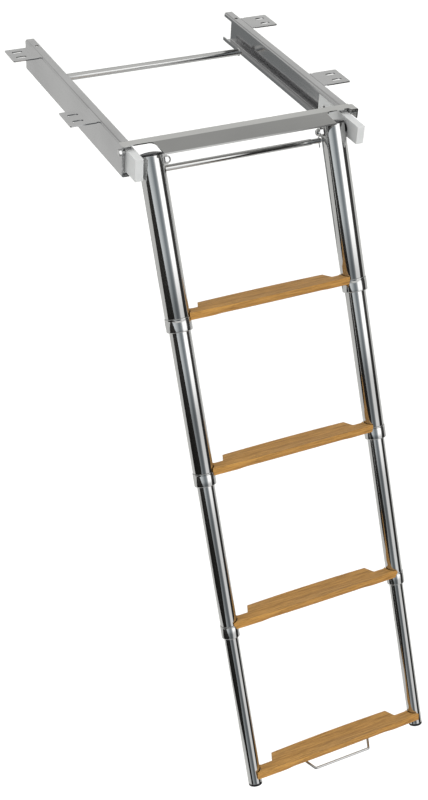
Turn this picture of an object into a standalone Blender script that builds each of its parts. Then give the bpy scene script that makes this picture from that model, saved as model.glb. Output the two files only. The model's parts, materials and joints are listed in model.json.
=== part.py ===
"""Slide-out telescopic boarding ladder for mounting under a swimming platform.

Frame: +X across the ladder, +Y forward under the platform, +Z up.  The origin is the middle of the front
plate's flat top strip, which lies against the underside of the platform.  Two lipped channel rails carry
nylon sliders; four telescoping sections hang from pivot bolts in the sliders.  The ladder stands pulled
out and lowered, with every section extended.

Inside the ladder's own frame, s is the distance down the uprights from the pivot bolts, and n is the
distance out from the plane of the uprights' axes, towards the person who climbs.
"""

import math

import bmesh
import bpy
from mathutils import Matrix, Vector

MM = 0.001
GAP = 0.3 * MM  # clearance between pieces that touch
OVERRUN = 5 * MM  # how far a cutter passes the faces it cuts

# Rails: lipped channels, open towards the middle
RAIL_OUTER_X = 200 * MM
RAIL_LENGTH = 427 * MM
RAIL_HEIGHT = 54 * MM
RAIL_FLANGE = 17 * MM
RAIL_TOP_LIP = 7 * MM
RAIL_BOTTOM_LIP = 8 * MM
RAIL_SHEET = 2 * MM
RAIL_BEND_RADIUS = 3.5 * MM
FLANGE_HOLE_X = 190.5 * MM
FLANGE_HOLE_Y = 395 * MM
FLANGE_HOLE_RADIUS = 3 * MM

# Fixing tabs, two on each rail, level with the mounting plane
TAB_REACH = 49 * MM
TAB_SPANS = ((86 * MM, 136.5 * MM), (346 * MM, 394 * MM))
TAB_SLOT_LENGTH = 18 * MM
TAB_SLOT_WIDTH = 6 * MM
TAB_SLOT_X = 231 * MM
TAB_SLOT_SHARES = (0.28, 0.72)  # the slots' places along the tab's depth
TAB_NOTCH = 3 * MM
TAB_WELD = 1.8 * MM  # how far each tab runs into the rail's bend

# Front plate across the rails' front ends
STRIP_FRONT_Y = -4 * MM
STRIP_REAR_Y = 11 * MM
CREASE_Y = -4.4 * MM
BAND_FRONT_Y = -42 * MM
BAND_HALF_WIDTH = 149 * MM
BAND_CORNER_RADIUS = 10 * MM
BAND_SLOPE = math.radians(3)
PLATE_SHEET = 2 * MM
PLATE_LIP_BOTTOM = 4.7 * MM
PLATE_LIP_DEPTH = 2.5 * MM
EAR_REACH = 7.5 * MM
EAR_DROP = 17 * MM
EAR_SPAN = (-10 * MM, 8 * MM)
EAR_ROOT = 6 * MM  # how far the ear runs into the strip
EAR_CHAMFER = 1 * MM
EAR_SKIN = 0.1 * MM  # how far the ear's faces lie inside the strip's

# Rear tie bar, between the rails' bottom lips
TIE_BAR_RADIUS = 6 * MM
TIE_BAR_Y = 363 * MM
TIE_BAR_Z = -50 * MM

# Nylon sliders: a block that fills the channel, and a nose in front that passes between the lips
SLIDER_STEP_Y = 6.3 * MM
SLIDER_REAR_Y = 77 * MM
SLIDER_TOP_Z = -2.8 * MM
SLIDER_BOTTOM_Z = -51.2 * MM
NOSE_FRONT_Y = {-1: -37 * MM, 1: -56 * MM}  # left, right
NOSE_BOTTOM_Z = {-1: -45 * MM, 1: -38 * MM}
NOSE_TOP_Z = -8 * MM
NOSE_OUTER_X = 193.5 * MM
NOSE_INNER_X = 180.3 * MM
NOSE_ROOT = 1 * MM  # how far the nose runs into the block
SLIDER_EDGE = 0.8 * MM
BORE_END_X = 191.8 * MM
STUD_END_X = 190.5 * MM

# Stop bolts, through the webs in front of the sliders' step
STOP_BOLT_Y = 3 * MM
STOP_BOLT_Z = -13 * MM
STOP_BOLT_RADIUS = 3 * MM
STOP_BOLT_HEAD = (5.6 * MM, 4.2 * MM)  # corner radius, height
STOP_BOLT_TIP_X = 194.3 * MM

# Pivot: a stud from each slider's nose through the first upright
PIVOT_Y = -17.5 * MM
PIVOT_Z = -26.5 * MM
LEAN = math.radians(27.5)  # the uprights' lean from straight down when lowered
PIVOT_BOLT_RADIUS = 4 * MM
WASHER_RADIUS = 9 * MM
WASHER_EDGE = 0.2 * MM
DOME_NUT_RADIUS = 7.4 * MM
DOME_NUT_HEIGHT = 6.5 * MM
DOME_RADIUS = 5.9 * MM
DOME_ROOT = 1 * MM  # how far the dome's centre lies inside the hexagon

# Uprights: outer radius and bore radius of each section's tubes
UPRIGHT_X = 158.5 * MM
TUBES = ((20 * MM, 18.5 * MM), (17 * MM, 15.5 * MM), (14 * MM, 12.8 * MM), (11.5 * MM, 10.3 * MM))
TOP_CAP_S = -12.5 * MM
TOP_CAP_FLANGE = 2.8 * MM
CAP_SPIGOT = 5 * MM
CAP_EDGE = 1 * MM
END_CAP_FLANGE = 4 * MM
FOOT_S = 1038 * MM

# Treads: s of each tread's top face on the uprights' plane
TREADS_S = (232 * MM, 483 * MM, 743 * MM, 1010 * MM)
TREAD_THICKNESS = 12 * MM
TREAD_TILT = math.radians(13)
TREAD_FRONT_N = 16.5 * MM
TREAD_FRONT_BOW = 2 * MM
TREAD_SHOULDER_N = -2 * MM
TREAD_FLARE_N = -8 * MM
TREAD_BACK_N = -21 * MM
TREAD_BACK_BOW = 2 * MM
TREAD_BACK_HALF = 113.6 * MM
TREAD_SHOULDER_HALF = 119.4 * MM
TREAD_FLARE_WIDTH = 9 * MM
TREAD_FLARE_ROOT = 0.5 * MM  # how far the flare's tip reaches into the hollow
TREAD_FLARE_CORNER = (2 * MM, 1 * MM)  # chamfer at the flare's foot, across and out
TREAD_HORN = 1.5 * MM
TREAD_TUBE_GAP = 1.2 * MM
TREAD_EDGE = 1.2 * MM
CROSSBAR_WIDTH = 12 * MM
CROSSBAR_DEPTH = 6 * MM
CROSSBAR_N = 1 * MM
BAR_SCREW_X = 80 * MM
BAR_SCREW_RADIUS = 1.6 * MM
BAR_SCREW_HEAD = (3.4 * MM, 1.6 * MM)
BAR_SCREW_BITE = 3.6 * MM

# Collars under sections 1 to 3, and glide bushes on the tops of sections 2 to 4
COLLAR_TOP = 8.5 * MM  # below its tread's s
COLLAR_BOTTOM = 30 * MM
COLLAR_PROUD = 0.8 * MM
COLLAR_EDGE = 1 * MM
COLLAR_BORE_GAP = 0.35 * MM
BUSH_LENGTH = 17 * MM
BUSH_CROWN = 3 * MM
BUSH_EDGE = 1 * MM
BUSH_REST = 0.5 * MM  # between a bush and the collar under it when extended

# Cross rod under the pivots, its split pin, and the pull handle under the last tread
ROD_RADIUS = 5 * MM
ROD_S = 13 * MM
ROD_N = -8 * MM
ROD_END_LENGTH = 17 * MM
ROD_END_RADIUS = 4.2 * MM
ROD_STEP_CHAMFER = 1 * MM
PIN_RADIUS = 1.2 * MM
PIN_X = 135 * MM
PIN_TIP_S = 25 * MM
PIN_HEAD_RADIUS = 2 * MM
PIN_HEAD_HEIGHT = 1.5 * MM
HANDLE_RADIUS = 2.1 * MM
HANDLE_GRIP_HALF = 52 * MM
HANDLE_GRIP = (16 * MM, 1042 * MM)  # n and s of the grip
HANDLE_FOOT_HALF = 65 * MM
HANDLE_FOOT = (-8 * MM, 1027.5 * MM)  # n and s where the legs turn up
HANDLE_STUB_S = 1021.5 * MM

ROUND_STEPS = 20
SMALL_STEPS = 12
HOLLOW_STEPS = 28
SCREW_STEPS = 10

STEEL = ("polished_steel", (0.72, 0.72, 0.71), 0.12, 1.0)
SHEET_STEEL = ("satin_sheet_steel", (0.62, 0.62, 0.60), 0.28, 1.0)
TEAK = ("oiled_teak", (0.56, 0.33, 0.13), 0.5, 0.0)
NYLON = ("white_nylon", (0.86, 0.87, 0.86), 0.42, 0.0)
BLACK = ("black_plastic", (0.02, 0.02, 0.022), 0.4, 0.0)
GREY_NYLON = ("grey_nylon", (0.35, 0.36, 0.37), 0.45, 0.0)


def clear_scene():
    for obj in list(bpy.data.objects):
        bpy.data.objects.remove(obj, do_unlink=True)


def collection(name):
    made = bpy.data.collections.new(name)
    bpy.context.scene.collection.children.link(made)
    return made


def material(spec):
    name, colour, roughness, metallic = spec
    made = bpy.data.materials.get(name)
    if made is None:
        made = bpy.data.materials.new(name)
        made.use_nodes = True
        shader = made.node_tree.nodes["Principled BSDF"]
        shader.inputs["Base Color"].default_value = (*colour, 1)
        shader.inputs["Roughness"].default_value = roughness
        shader.inputs["Metallic"].default_value = metallic
    return made


clear_scene()
PARTS = collection("boarding_ladder")
CUTTERS = collection("cutters")


# --- Building helpers -------------------------------------------------------------------------------


def empty(name, location, parent=None, rotation=(0, 0, 0)):
    made = bpy.data.objects.new(name, None)
    made.empty_display_size = 0.03
    made.location = location
    made.rotation_euler = rotation
    made.parent = parent
    PARTS.objects.link(made)
    return made


def add(name, mesh, spec, parent=None, place=None):
    """A part from a mesh, with its material, placed in its parent's frame by the matrix."""
    made = bpy.data.objects.new(name, mesh)
    PARTS.objects.link(made)
    made.data.materials.append(material(spec))
    made.parent = parent
    if place is not None:
        made.matrix_basis = place
    return made


def cutter(mesh, parent=None, place=None):
    made = bpy.data.objects.new("cutter", mesh)
    CUTTERS.objects.link(made)
    made.hide_render = True
    made.display_type = "WIRE"
    made.parent = parent
    if place is not None:
        made.matrix_basis = place
    return made


def boolean(target, other, operation="DIFFERENCE"):
    step = target.modifiers.new(operation.lower(), "BOOLEAN")
    step.operation = operation
    step.object = other


def bevel(target, width, segments=1, angle=35):
    step = target.modifiers.new("edge", "BEVEL")
    step.width = width
    step.segments = segments
    step.limit_method = "ANGLE"
    step.angle_limit = math.radians(angle)


def mesh_from(bm, name="mesh"):
    bmesh.ops.recalc_face_normals(bm, faces=bm.faces)
    mesh = bpy.data.meshes.new(name)
    bm.to_mesh(mesh)
    bm.free()
    return mesh


def box(low, high):
    """A box between two corners."""
    bm = bmesh.new()
    bmesh.ops.create_cube(bm, size=1)
    size = Vector(high) - Vector(low)
    middle = (Vector(high) + Vector(low)) / 2
    bmesh.ops.transform(bm, matrix=Matrix.Translation(middle) @ Matrix.Diagonal((*size, 1)), verts=bm.verts)
    return mesh_from(bm)


def rod(radius, start, end, segments=SMALL_STEPS):
    """A cylinder between two points."""
    start, end = Vector(start), Vector(end)
    bm = bmesh.new()
    depth = (end - start).length
    bmesh.ops.create_cone(bm, cap_ends=True, segments=segments, radius1=radius, radius2=radius, depth=depth)
    turn = (end - start).to_track_quat("Z", "Y").to_matrix().to_4x4()
    bmesh.ops.transform(bm, matrix=Matrix.Translation((start + end) / 2) @ turn, verts=bm.verts)
    return mesh_from(bm)


def shade_round(obj, angle=35):
    obj.data.shade_smooth()
    obj.data.set_sharp_from_angle(angle=math.radians(angle))


def turned(name, profile, spec, parent, place, steps=ROUND_STEPS, closed=True):
    """A profile of (radius, height) points turned about Z; it runs down its outer side."""
    mesh = bpy.data.meshes.new(name)
    count = len(profile)
    edges = [(i, i + 1) for i in range(count - 1)]
    if closed:
        edges.append((count - 1, 0))
    mesh.from_pydata([(r, 0, z) for r, z in profile], edges, [])
    made = add(name, mesh, spec, parent, place)
    screw = made.modifiers.new("turn", "SCREW")
    screw.steps = screw.render_steps = steps
    screw.use_merge_vertices = not closed
    screw.merge_threshold = 0.00001
    screw.use_smooth_shade = True
    return made


def arc(centre, radius, start, end, steps):
    """Points of an arc, from one angle to another in degrees."""
    turns = [math.radians(start + (end - start) * i / steps) for i in range(steps + 1)]
    return [(centre[0] + radius * math.cos(t), centre[1] + radius * math.sin(t)) for t in turns]


def outline_mesh(points, thickness):
    """The mesh of a flat outline in XY, thickness/2 to each side of Z = 0."""
    curve = bpy.data.curves.new("outline", "CURVE")
    curve.dimensions = "2D"
    curve.fill_mode = "BOTH"
    curve.extrude = thickness / 2
    spline = curve.splines.new("POLY")
    spline.points.add(len(points) - 1)
    for point, (x, y) in zip(spline.points, points):
        point.co = (x, y, 0, 1)
    spline.use_cyclic_u = True
    return mesh_of_curve(curve)


def along_x(points, start, end):
    """A (y, z) outline carried along X."""
    mesh = outline_mesh(points, end - start)
    turn = Matrix(((0, 0, 1, (start + end) / 2), (1, 0, 0, 0), (0, 1, 0, 0), (0, 0, 0, 1)))
    mesh.transform(turn)
    return mesh


def along_y(points, start, end):
    """An (x, z) outline carried along Y."""
    mesh = outline_mesh(points, end - start)
    turn = Matrix(((1, 0, 0, 0), (0, 0, -1, (start + end) / 2), (0, 1, 0, 0), (0, 0, 0, 1)))
    mesh.transform(turn)
    return mesh


def mesh_of_curve(curve):
    """The closed mesh of a curve, with its caps welded on."""
    guide = bpy.data.objects.new("guide", curve)
    bpy.context.scene.collection.objects.link(guide)
    graph = bpy.context.evaluated_depsgraph_get()
    mesh = bpy.data.meshes.new_from_object(guide.evaluated_get(graph))
    bpy.data.objects.remove(guide)
    bm = bmesh.new()
    bm.from_mesh(mesh)
    bmesh.ops.remove_doubles(bm, verts=bm.verts, dist=0.000005)
    return mesh_from(bm)


def wire_mesh(points, radius, resolution=1):
    curve = bpy.data.curves.new("wire", "CURVE")
    curve.dimensions = "3D"
    curve.bevel_depth = radius
    curve.bevel_resolution = resolution
    curve.use_fill_caps = True
    spline = curve.splines.new("POLY")
    spline.points.add(len(points) - 1)
    for point, where in zip(spline.points, points):
        point.co = (*where, 1)
    return mesh_of_curve(curve)


def side_name(base, side):
    return f"{base}_{'left' if side < 0 else 'right'}"


def mirrored(mesh, side):
    """The mesh as built for the right side, or its mirror image for the left."""
    if side < 0:
        mesh.transform(Matrix.Scale(-1, 4, (1, 0, 0)))
        mesh.flip_normals()
    return mesh


# --- Fixed frame ------------------------------------------------------------------------------------


def channel_outline():
    """Right rail's section, as (x, z) points: a path along the outer faces and back along the inner."""
    out, t, r = RAIL_OUTER_X, RAIL_SHEET, RAIL_BEND_RADIUS
    inn, low, inner = out - RAIL_FLANGE, -RAIL_HEIGHT, r - t
    outer_path = [(inn, -RAIL_TOP_LIP)]
    outer_path += arc((inn + r, -r), r, 180, 90, 4)
    outer_path += arc((out - r, -r), r, 90, 0, 4)
    outer_path += arc((out - r, low + r), r, 0, -90, 4)
    outer_path += arc((inn + r, low + r), r, -90, -180, 4)
    outer_path += [(inn, low + RAIL_BOTTOM_LIP)]
    inner_path = [(inn + t, low + RAIL_BOTTOM_LIP)]
    inner_path += arc((inn + r, low + r), inner, -180, -90, 3)
    inner_path += arc((out - r, low + r), inner, -90, 0, 3)
    inner_path += arc((out - r, -r), inner, 0, 90, 3)
    inner_path += arc((inn + r, -r), inner, 90, 180, 3)
    inner_path += [(inn + t, -RAIL_TOP_LIP)]
    return outer_path + inner_path


def rail(side):
    channel = along_y(channel_outline(), 0, RAIL_LENGTH)
    made = add(side_name("rail", side), mirrored(channel, side), SHEET_STEEL)
    for first, last in TAB_SPANS:
        inner_x, outer_x = RAIL_OUTER_X - TAB_WELD, RAIL_OUTER_X + TAB_REACH
        tab = cutter(mirrored(box((inner_x, first, -RAIL_SHEET), (outer_x, last, 0)), side))
        boolean(made, tab, "UNION")
        depth = last - first
        for share in TAB_SLOT_SHARES:
            boolean(made, slot_cutter(side, first + share * depth))
        for edge in (first, last):
            middle = edge + math.copysign(TAB_NOTCH / 2, edge - (first + last) / 2)
            where = (side * (RAIL_OUTER_X + TAB_NOTCH), middle)
            boolean(made, cutter(rod(TAB_NOTCH, (*where, -OVERRUN), (*where, OVERRUN))))
    hole = (side * FLANGE_HOLE_X, FLANGE_HOLE_Y)
    boolean(made, cutter(rod(FLANGE_HOLE_RADIUS, (*hole, -OVERRUN), (*hole, OVERRUN))))
    seat = box(
        (RAIL_OUTER_X - RAIL_FLANGE - OVERRUN, -OVERRUN, -PLATE_SHEET - GAP),
        (RAIL_OUTER_X + OVERRUN, STRIP_REAR_Y + GAP, OVERRUN),
    )
    boolean(made, cutter(mirrored(seat, side)))
    bolt_at = (STOP_BOLT_Y, STOP_BOLT_Z)
    start, end = side * (RAIL_OUTER_X - OVERRUN), side * (RAIL_OUTER_X + OVERRUN)
    boolean(made, cutter(rod(STOP_BOLT_RADIUS + GAP, (start, *bolt_at), (end, *bolt_at))))
    return made


def slot_cutter(side, y):
    """A slot with round ends, long across the ladder."""
    reach = (TAB_SLOT_LENGTH - TAB_SLOT_WIDTH) / 2
    radius = TAB_SLOT_WIDTH / 2
    ends = arc((reach, 0), radius, -90, 90, 6) + arc((-reach, 0), radius, 90, 270, 6)
    mesh = outline_mesh(ends, 2 * OVERRUN)
    mesh.transform(Matrix.Translation((side * TAB_SLOT_X, y, 0)))
    return cutter(mesh)


def front_plate():
    """A flat strip on the rails, and a band in front of it that slopes down gently to a small lip."""
    t = PLATE_SHEET
    fall = (CREASE_Y - BAND_FRONT_Y) * math.tan(BAND_SLOPE)
    lip_fall = (CREASE_Y - BAND_FRONT_Y - PLATE_LIP_DEPTH) * math.tan(BAND_SLOPE)
    section = [
        (STRIP_REAR_Y, 0),
        (CREASE_Y, 0),
        (BAND_FRONT_Y, -fall),
        (BAND_FRONT_Y, -PLATE_LIP_BOTTOM),
        (BAND_FRONT_Y + PLATE_LIP_DEPTH, -PLATE_LIP_BOTTOM),
        (BAND_FRONT_Y + PLATE_LIP_DEPTH, -lip_fall - t),
        (CREASE_Y, -t),
        (STRIP_REAR_Y, -t),
    ]
    made = add("front_plate", along_x(section, -RAIL_OUTER_X, RAIL_OUTER_X), SHEET_STEEL)
    centre = (BAND_HALF_WIDTH + BAND_CORNER_RADIUS, STRIP_FRONT_Y - BAND_CORNER_RADIUS)
    corner = arc(centre, BAND_CORNER_RADIUS, 90, 180, 6)
    end_x, front_y = RAIL_OUTER_X + OVERRUN, BAND_FRONT_Y - OVERRUN
    corner += [(BAND_HALF_WIDTH, front_y), (end_x, front_y), (end_x, STRIP_FRONT_Y)]
    for side in (-1, 1):
        boolean(made, cutter(mirrored(outline_mesh(corner, 4 * OVERRUN), side)))
    inner_x, ear_x = RAIL_OUTER_X - EAR_ROOT, RAIL_OUTER_X + EAR_REACH
    ear = [
        (inner_x, -EAR_SKIN),
        (ear_x - EAR_CHAMFER, -EAR_SKIN),
        (ear_x, -EAR_CHAMFER),
        (ear_x, -EAR_DROP),
        (ear_x - t, -EAR_DROP),
        (ear_x - t, -t + EAR_SKIN),
        (inner_x, -t + EAR_SKIN),
    ]
    boolean(made, cutter(along_y(ear, *EAR_SPAN)), "UNION")
    bolt_at = (STOP_BOLT_Y, STOP_BOLT_Z)
    hole = rod(STOP_BOLT_RADIUS + GAP, (ear_x - OVERRUN, *bolt_at), (ear_x + OVERRUN, *bolt_at))
    boolean(made, cutter(hole))
    return made


def hex_head(radius, height, inner_x, at, side):
    """A hexagon head on a bolt along X, its flat inner face at inner_x."""
    return rod(radius, (side * inner_x, *at), (side * (inner_x + height), *at), 6)


def fused(name, spec, meshes, parent=None):
    """One part from overlapping meshes."""
    made = add(name, meshes[0], spec, parent)
    for mesh in meshes[1:]:
        boolean(made, cutter(mesh, parent), "UNION")
    return made


def stop_bolt(side):
    """It clamps the plate's ear on the right; its tip stands in the way of the slider's step."""
    face = RAIL_OUTER_X + GAP + (EAR_REACH if side > 0 else 0)
    at = (STOP_BOLT_Y, STOP_BOLT_Z)
    radius, height = STOP_BOLT_HEAD
    root_x = face + height / 2
    shank = rod(STOP_BOLT_RADIUS, (side * STOP_BOLT_TIP_X, *at), (side * root_x, *at))
    fused(side_name("stop_bolt", side), STEEL, [shank, hex_head(radius, height, face, at, side)])


def tie_bar():
    reach = RAIL_OUTER_X - RAIL_FLANGE - GAP
    at = (TIE_BAR_Y, TIE_BAR_Z)
    made = add("rear_tie_bar", rod(TIE_BAR_RADIUS, (-reach, *at), (reach, *at), ROUND_STEPS), STEEL)
    shade_round(made)


# --- Sliders and pivots -----------------------------------------------------------------------------


def slider(side, parent):
    """A block in the channel with a narrower nose, blind bored for the pivot stud."""
    lip_x = RAIL_OUTER_X - RAIL_FLANGE + RAIL_SHEET + GAP
    web_x = RAIL_OUTER_X - RAIL_SHEET - GAP
    block = box((lip_x, SLIDER_STEP_Y, SLIDER_BOTTOM_Z), (web_x, SLIDER_REAR_Y, SLIDER_TOP_Z))
    nose = box(
        (NOSE_INNER_X, NOSE_FRONT_Y[side], NOSE_BOTTOM_Z[side]),
        (NOSE_OUTER_X, SLIDER_STEP_Y + NOSE_ROOT, NOSE_TOP_Z),
    )
    made = fused(side_name("slider", side), NYLON, [mirrored(block, side), mirrored(nose, side)], parent)
    bore = across_pivot(side, PIVOT_BOLT_RADIUS + GAP, NOSE_INNER_X - OVERRUN, BORE_END_X)
    boolean(made, cutter(bore, parent))
    bevel(made, SLIDER_EDGE, 1, 50)


def across_pivot(side, radius, start_x, end_x, segments=SMALL_STEPS):
    """A rod along the pivot axis, between two distances from the middle."""
    return rod(radius, (side * start_x, PIVOT_Y, PIVOT_Z), (side * end_x, PIVOT_Y, PIVOT_Z), segments)


def pivot_bolt(side, parent):
    """A stud screwed into the slider's nose, through the upright, ending in the dome nut."""
    tip = UPRIGHT_X - TUBES[0][0] - GAP - DOME_NUT_HEIGHT
    stud = across_pivot(side, PIVOT_BOLT_RADIUS, tip, STUD_END_X)
    shade_round(add(side_name("pivot_bolt", side), stud, STEEL, parent))


def ring_profile(outer, bore, top, bottom, edge=0.0):
    """A plain ring's section, chamfered at its outer edges."""
    return [
        (outer - edge, top),
        (outer, top - edge),
        (outer, bottom + edge),
        (outer - edge, bottom),
        (bore, bottom),
        (bore, top),
    ]


def across(side, x):
    """The frame of a part turned about X, its Z pointing outwards, at the pivot."""
    return Matrix.Translation((side * x, PIVOT_Y, PIVOT_Z)) @ Matrix.Rotation(side * math.radians(90), 4, "Y")


def washer(side, parent):
    inner_x = UPRIGHT_X + TUBES[0][0] + GAP
    height = NOSE_INNER_X - GAP - inner_x
    profile = ring_profile(WASHER_RADIUS, PIVOT_BOLT_RADIUS + GAP, height, 0, WASHER_EDGE)
    turned(side_name("pivot_washer", side), profile, BLACK, parent, across(side, inner_x), SMALL_STEPS)


def dome_nut(side, parent):
    """Hexagon base with a domed closed end, blind bored for the stud."""
    outer_x = UPRIGHT_X - TUBES[0][0] - GAP
    base_x = outer_x - DOME_NUT_HEIGHT
    bm = bmesh.new()
    bmesh.ops.create_uvsphere(bm, u_segments=SMALL_STEPS, v_segments=8, radius=DOME_RADIUS)
    bmesh.ops.translate(bm, verts=bm.verts, vec=(side * (base_x + DOME_ROOT), PIVOT_Y, PIVOT_Z))
    base = across_pivot(side, DOME_NUT_RADIUS, base_x, outer_x, 6)
    made = fused(side_name("dome_nut", side), STEEL, [base, mesh_from(bm)], parent)
    bore = across_pivot(side, PIVOT_BOLT_RADIUS + GAP, base_x - DOME_ROOT, outer_x + OVERRUN)
    boolean(made, cutter(bore, parent))


# --- Telescoping ladder -----------------------------------------------------------------------------


def down(x, n, s):
    """A point of the ladder's own frame from its x, n and s."""
    return (x, -n, -s)


def at_s(side, s=0):
    return Matrix.Translation(down(side * UPRIGHT_X, 0, s))


def upright(section, side, parent):
    outer, bore = TUBES[section]
    top = TOP_CAP_S + TOP_CAP_FLANGE + GAP if section == 0 else bush_top(section) + BUSH_CROWN + GAP
    bottom = FOOT_S - END_CAP_FLANGE - GAP if section == 3 else TREADS_S[section] + COLLAR_TOP - GAP
    profile = ring_profile(outer, bore, -top, -bottom)
    name = f"upright_{section + 1}_{'left' if side < 0 else 'right'}"
    made = turned(name, profile, STEEL, parent, at_s(side))
    if section == 0:
        reach = outer + OVERRUN
        mesh = rod(PIVOT_BOLT_RADIUS + GAP, (-reach, 0, 0), (reach, 0, 0))
        boolean(made, cutter(mesh, parent, at_s(side)))


def bush_top(section):
    """s of the top of this section's glide bush, which rests on the collar above when extended."""
    return TREADS_S[section - 1] + COLLAR_TOP - BUSH_REST - BUSH_LENGTH


def glide_bush(section, side, parent):
    """A nylon cup over the top of an inner upright, wider than the bore of the collar it stops on."""
    outer = TUBES[section - 1][1] - GAP
    bore = TUBES[section][0] + GAP
    top, bottom = -bush_top(section), -bush_top(section) - BUSH_LENGTH
    profile = [
        (0, top),
        (outer - BUSH_EDGE, top),
        (outer, top - BUSH_EDGE),
        (outer, bottom),
        (bore, bottom),
        (bore, top - BUSH_CROWN),
        (0, top - BUSH_CROWN),
    ]
    name = f"glide_bush_{section + 1}_{'left' if side < 0 else 'right'}"
    turned(name, profile, GREY_NYLON, parent, at_s(side), ROUND_STEPS, closed=False)


def collar(section, side, parent):
    outer = TUBES[section][0] + COLLAR_PROUD
    bore = TUBES[section + 1][0] + COLLAR_BORE_GAP
    top, bottom = -(TREADS_S[section] + COLLAR_TOP), -(TREADS_S[section] + COLLAR_BOTTOM)
    profile = ring_profile(outer, bore, top, bottom, COLLAR_EDGE)
    name = f"collar_{section + 1}_{'left' if side < 0 else 'right'}"
    turned(name, profile, STEEL, parent, at_s(side))


def plug(name, side, parent, outer, bore, s, flange, spigot, up):
    """A cap with a rounded flange on the tube's end and a spigot in its bore; up is 1 at a top end."""
    profile = [
        (0, 0),
        (outer - CAP_EDGE, 0),
        (outer - CAP_EDGE * 0.3, -CAP_EDGE * 0.3),
        (outer, -CAP_EDGE),
        (outer, -flange),
        (bore - GAP, -flange),
        (bore - GAP, -flange - spigot),
        (0, -flange - spigot),
    ]
    if up < 0:
        profile = [(r, -z) for r, z in reversed(profile)]
    turned(side_name(name, side), profile, BLACK, parent, at_s(side, s), closed=False)


def tread_outline(section):
    """Tread seen from above, as (x, y) with y = -n: a full front part, a short back part and two horns."""
    reach = TUBES[section][0] + TREAD_TUBE_GAP
    chord = math.sqrt(max(0, reach**2 - (TREAD_FRONT_N - TREAD_HORN) ** 2))
    tip_x = UPRIGHT_X - chord
    flare_x = UPRIGHT_X - math.sqrt(reach**2 - TREAD_FLARE_N**2) + TREAD_FLARE_ROOT
    half = []
    for i in range(5):
        x = tip_x * i / 4
        half.append((x, -TREAD_FRONT_N - TREAD_FRONT_BOW * (1 - (x / tip_x) ** 2)))
    half.append((flare_x, -TREAD_FLARE_N))
    foot = flare_x - TREAD_FLARE_WIDTH
    across_foot, out_from_foot = TREAD_FLARE_CORNER
    half.append((foot + across_foot, -TREAD_SHOULDER_N + out_from_foot))
    half.append((foot, -TREAD_SHOULDER_N))
    half.append((TREAD_SHOULDER_HALF, -TREAD_SHOULDER_N))
    for i in range(4, -1, -1):
        x = TREAD_BACK_HALF * i / 4
        half.append((x, -TREAD_BACK_N + TREAD_BACK_BOW * (1 - (x / TREAD_BACK_HALF) ** 2)))
    return half + [(-x, y) for x, y in reversed(half[1:-1])]


def tread(section, parent):
    """Wooden tread: hollowed round the uprights at its ends, grooved underneath for its crossbar."""
    deck = empty(
        f"tread_frame_{section + 1}", down(0, 0, TREADS_S[section]), parent, (TREAD_TILT, 0, 0)
    )
    mesh = outline_mesh(tread_outline(section), TREAD_THICKNESS)
    mesh.transform(Matrix.Translation((0, 0, -TREAD_THICKNESS / 2)))
    made = add(f"tread_{section + 1}", mesh, TEAK, deck)
    bevel(made, TREAD_EDGE, 1, 60)
    reach = TUBES[section][0] + TREAD_TUBE_GAP
    for side in (-1, 1):
        depth = reach + TREAD_THICKNESS + OVERRUN
        hollow = rod(reach, (0, 0, -depth), (0, 0, depth), HOLLOW_STEPS)
        boolean(made, cutter(hollow, parent, at_s(side, TREADS_S[section])))
    half_width = CROSSBAR_WIDTH / 2
    floor = -TREAD_THICKNESS + CROSSBAR_DEPTH + 2 * GAP
    groove = box(
        (-UPRIGHT_X, -CROSSBAR_N - half_width - GAP, -TREAD_THICKNESS - OVERRUN),
        (UPRIGHT_X, -CROSSBAR_N + half_width + GAP, floor),
    )
    boolean(made, cutter(groove, deck))
    crossbar(section, deck, made)


def crossbar(section, deck, wood):
    """Flat steel bar welded between the uprights, in the tread's groove, and its two wood screws."""
    number = section + 1
    reach = UPRIGHT_X - TUBES[section][0] - COLLAR_PROUD - GAP
    low, high = -TREAD_THICKNESS + GAP, -TREAD_THICKNESS + CROSSBAR_DEPTH + GAP
    half_width = CROSSBAR_WIDTH / 2
    mesh = box((-reach, -CROSSBAR_N - half_width, low), (reach, -CROSSBAR_N + half_width, high))
    bar = add(f"crossbar_{number}", mesh, SHEET_STEEL, deck)
    head_radius, head_height = BAR_SCREW_HEAD
    for side in (-1, 1):
        where = (side * BAR_SCREW_X, -CROSSBAR_N)
        tip = high + BAR_SCREW_BITE
        hole = rod(BAR_SCREW_RADIUS + GAP, (*where, low - OVERRUN), (*where, tip + GAP), SCREW_STEPS)
        boolean(bar, cutter(hole, deck))
        boolean(wood, cutter(hole.copy(), deck))
        shank = rod(BAR_SCREW_RADIUS, (*where, low - head_height / 2), (*where, tip), SCREW_STEPS)
        head = rod(head_radius, (*where, low - GAP - head_height), (*where, low - GAP))
        fused(side_name(f"tread_screw_{number}", side), STEEL, [head, shank], deck)


def cross_rod(parent):
    """Turned rod between the first uprights, stepped down at its right end for the split pin."""
    outer = TUBES[0][0]
    reach = UPRIGHT_X - math.sqrt(outer**2 - (abs(ROD_N) - ROD_RADIUS) ** 2) - 2 * GAP
    step = reach - ROD_END_LENGTH
    profile = [
        (0, reach),
        (ROD_END_RADIUS, reach),
        (ROD_END_RADIUS, step),
        (ROD_RADIUS, step - ROD_STEP_CHAMFER),
        (ROD_RADIUS, -reach),
        (0, -reach),
    ]
    place = Matrix.Translation(down(0, ROD_N, ROD_S)) @ Matrix.Rotation(math.radians(90), 4, "Y")
    made = turned("cross_rod", profile, STEEL, parent, place, SMALL_STEPS, closed=False)
    over, under = ROD_S - ROD_RADIUS - OVERRUN, ROD_S + ROD_RADIUS + OVERRUN
    mesh = rod(PIN_RADIUS + GAP, down(PIN_X, ROD_N, over), down(PIN_X, ROD_N, under))
    boolean(made, cutter(mesh, parent))


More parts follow.
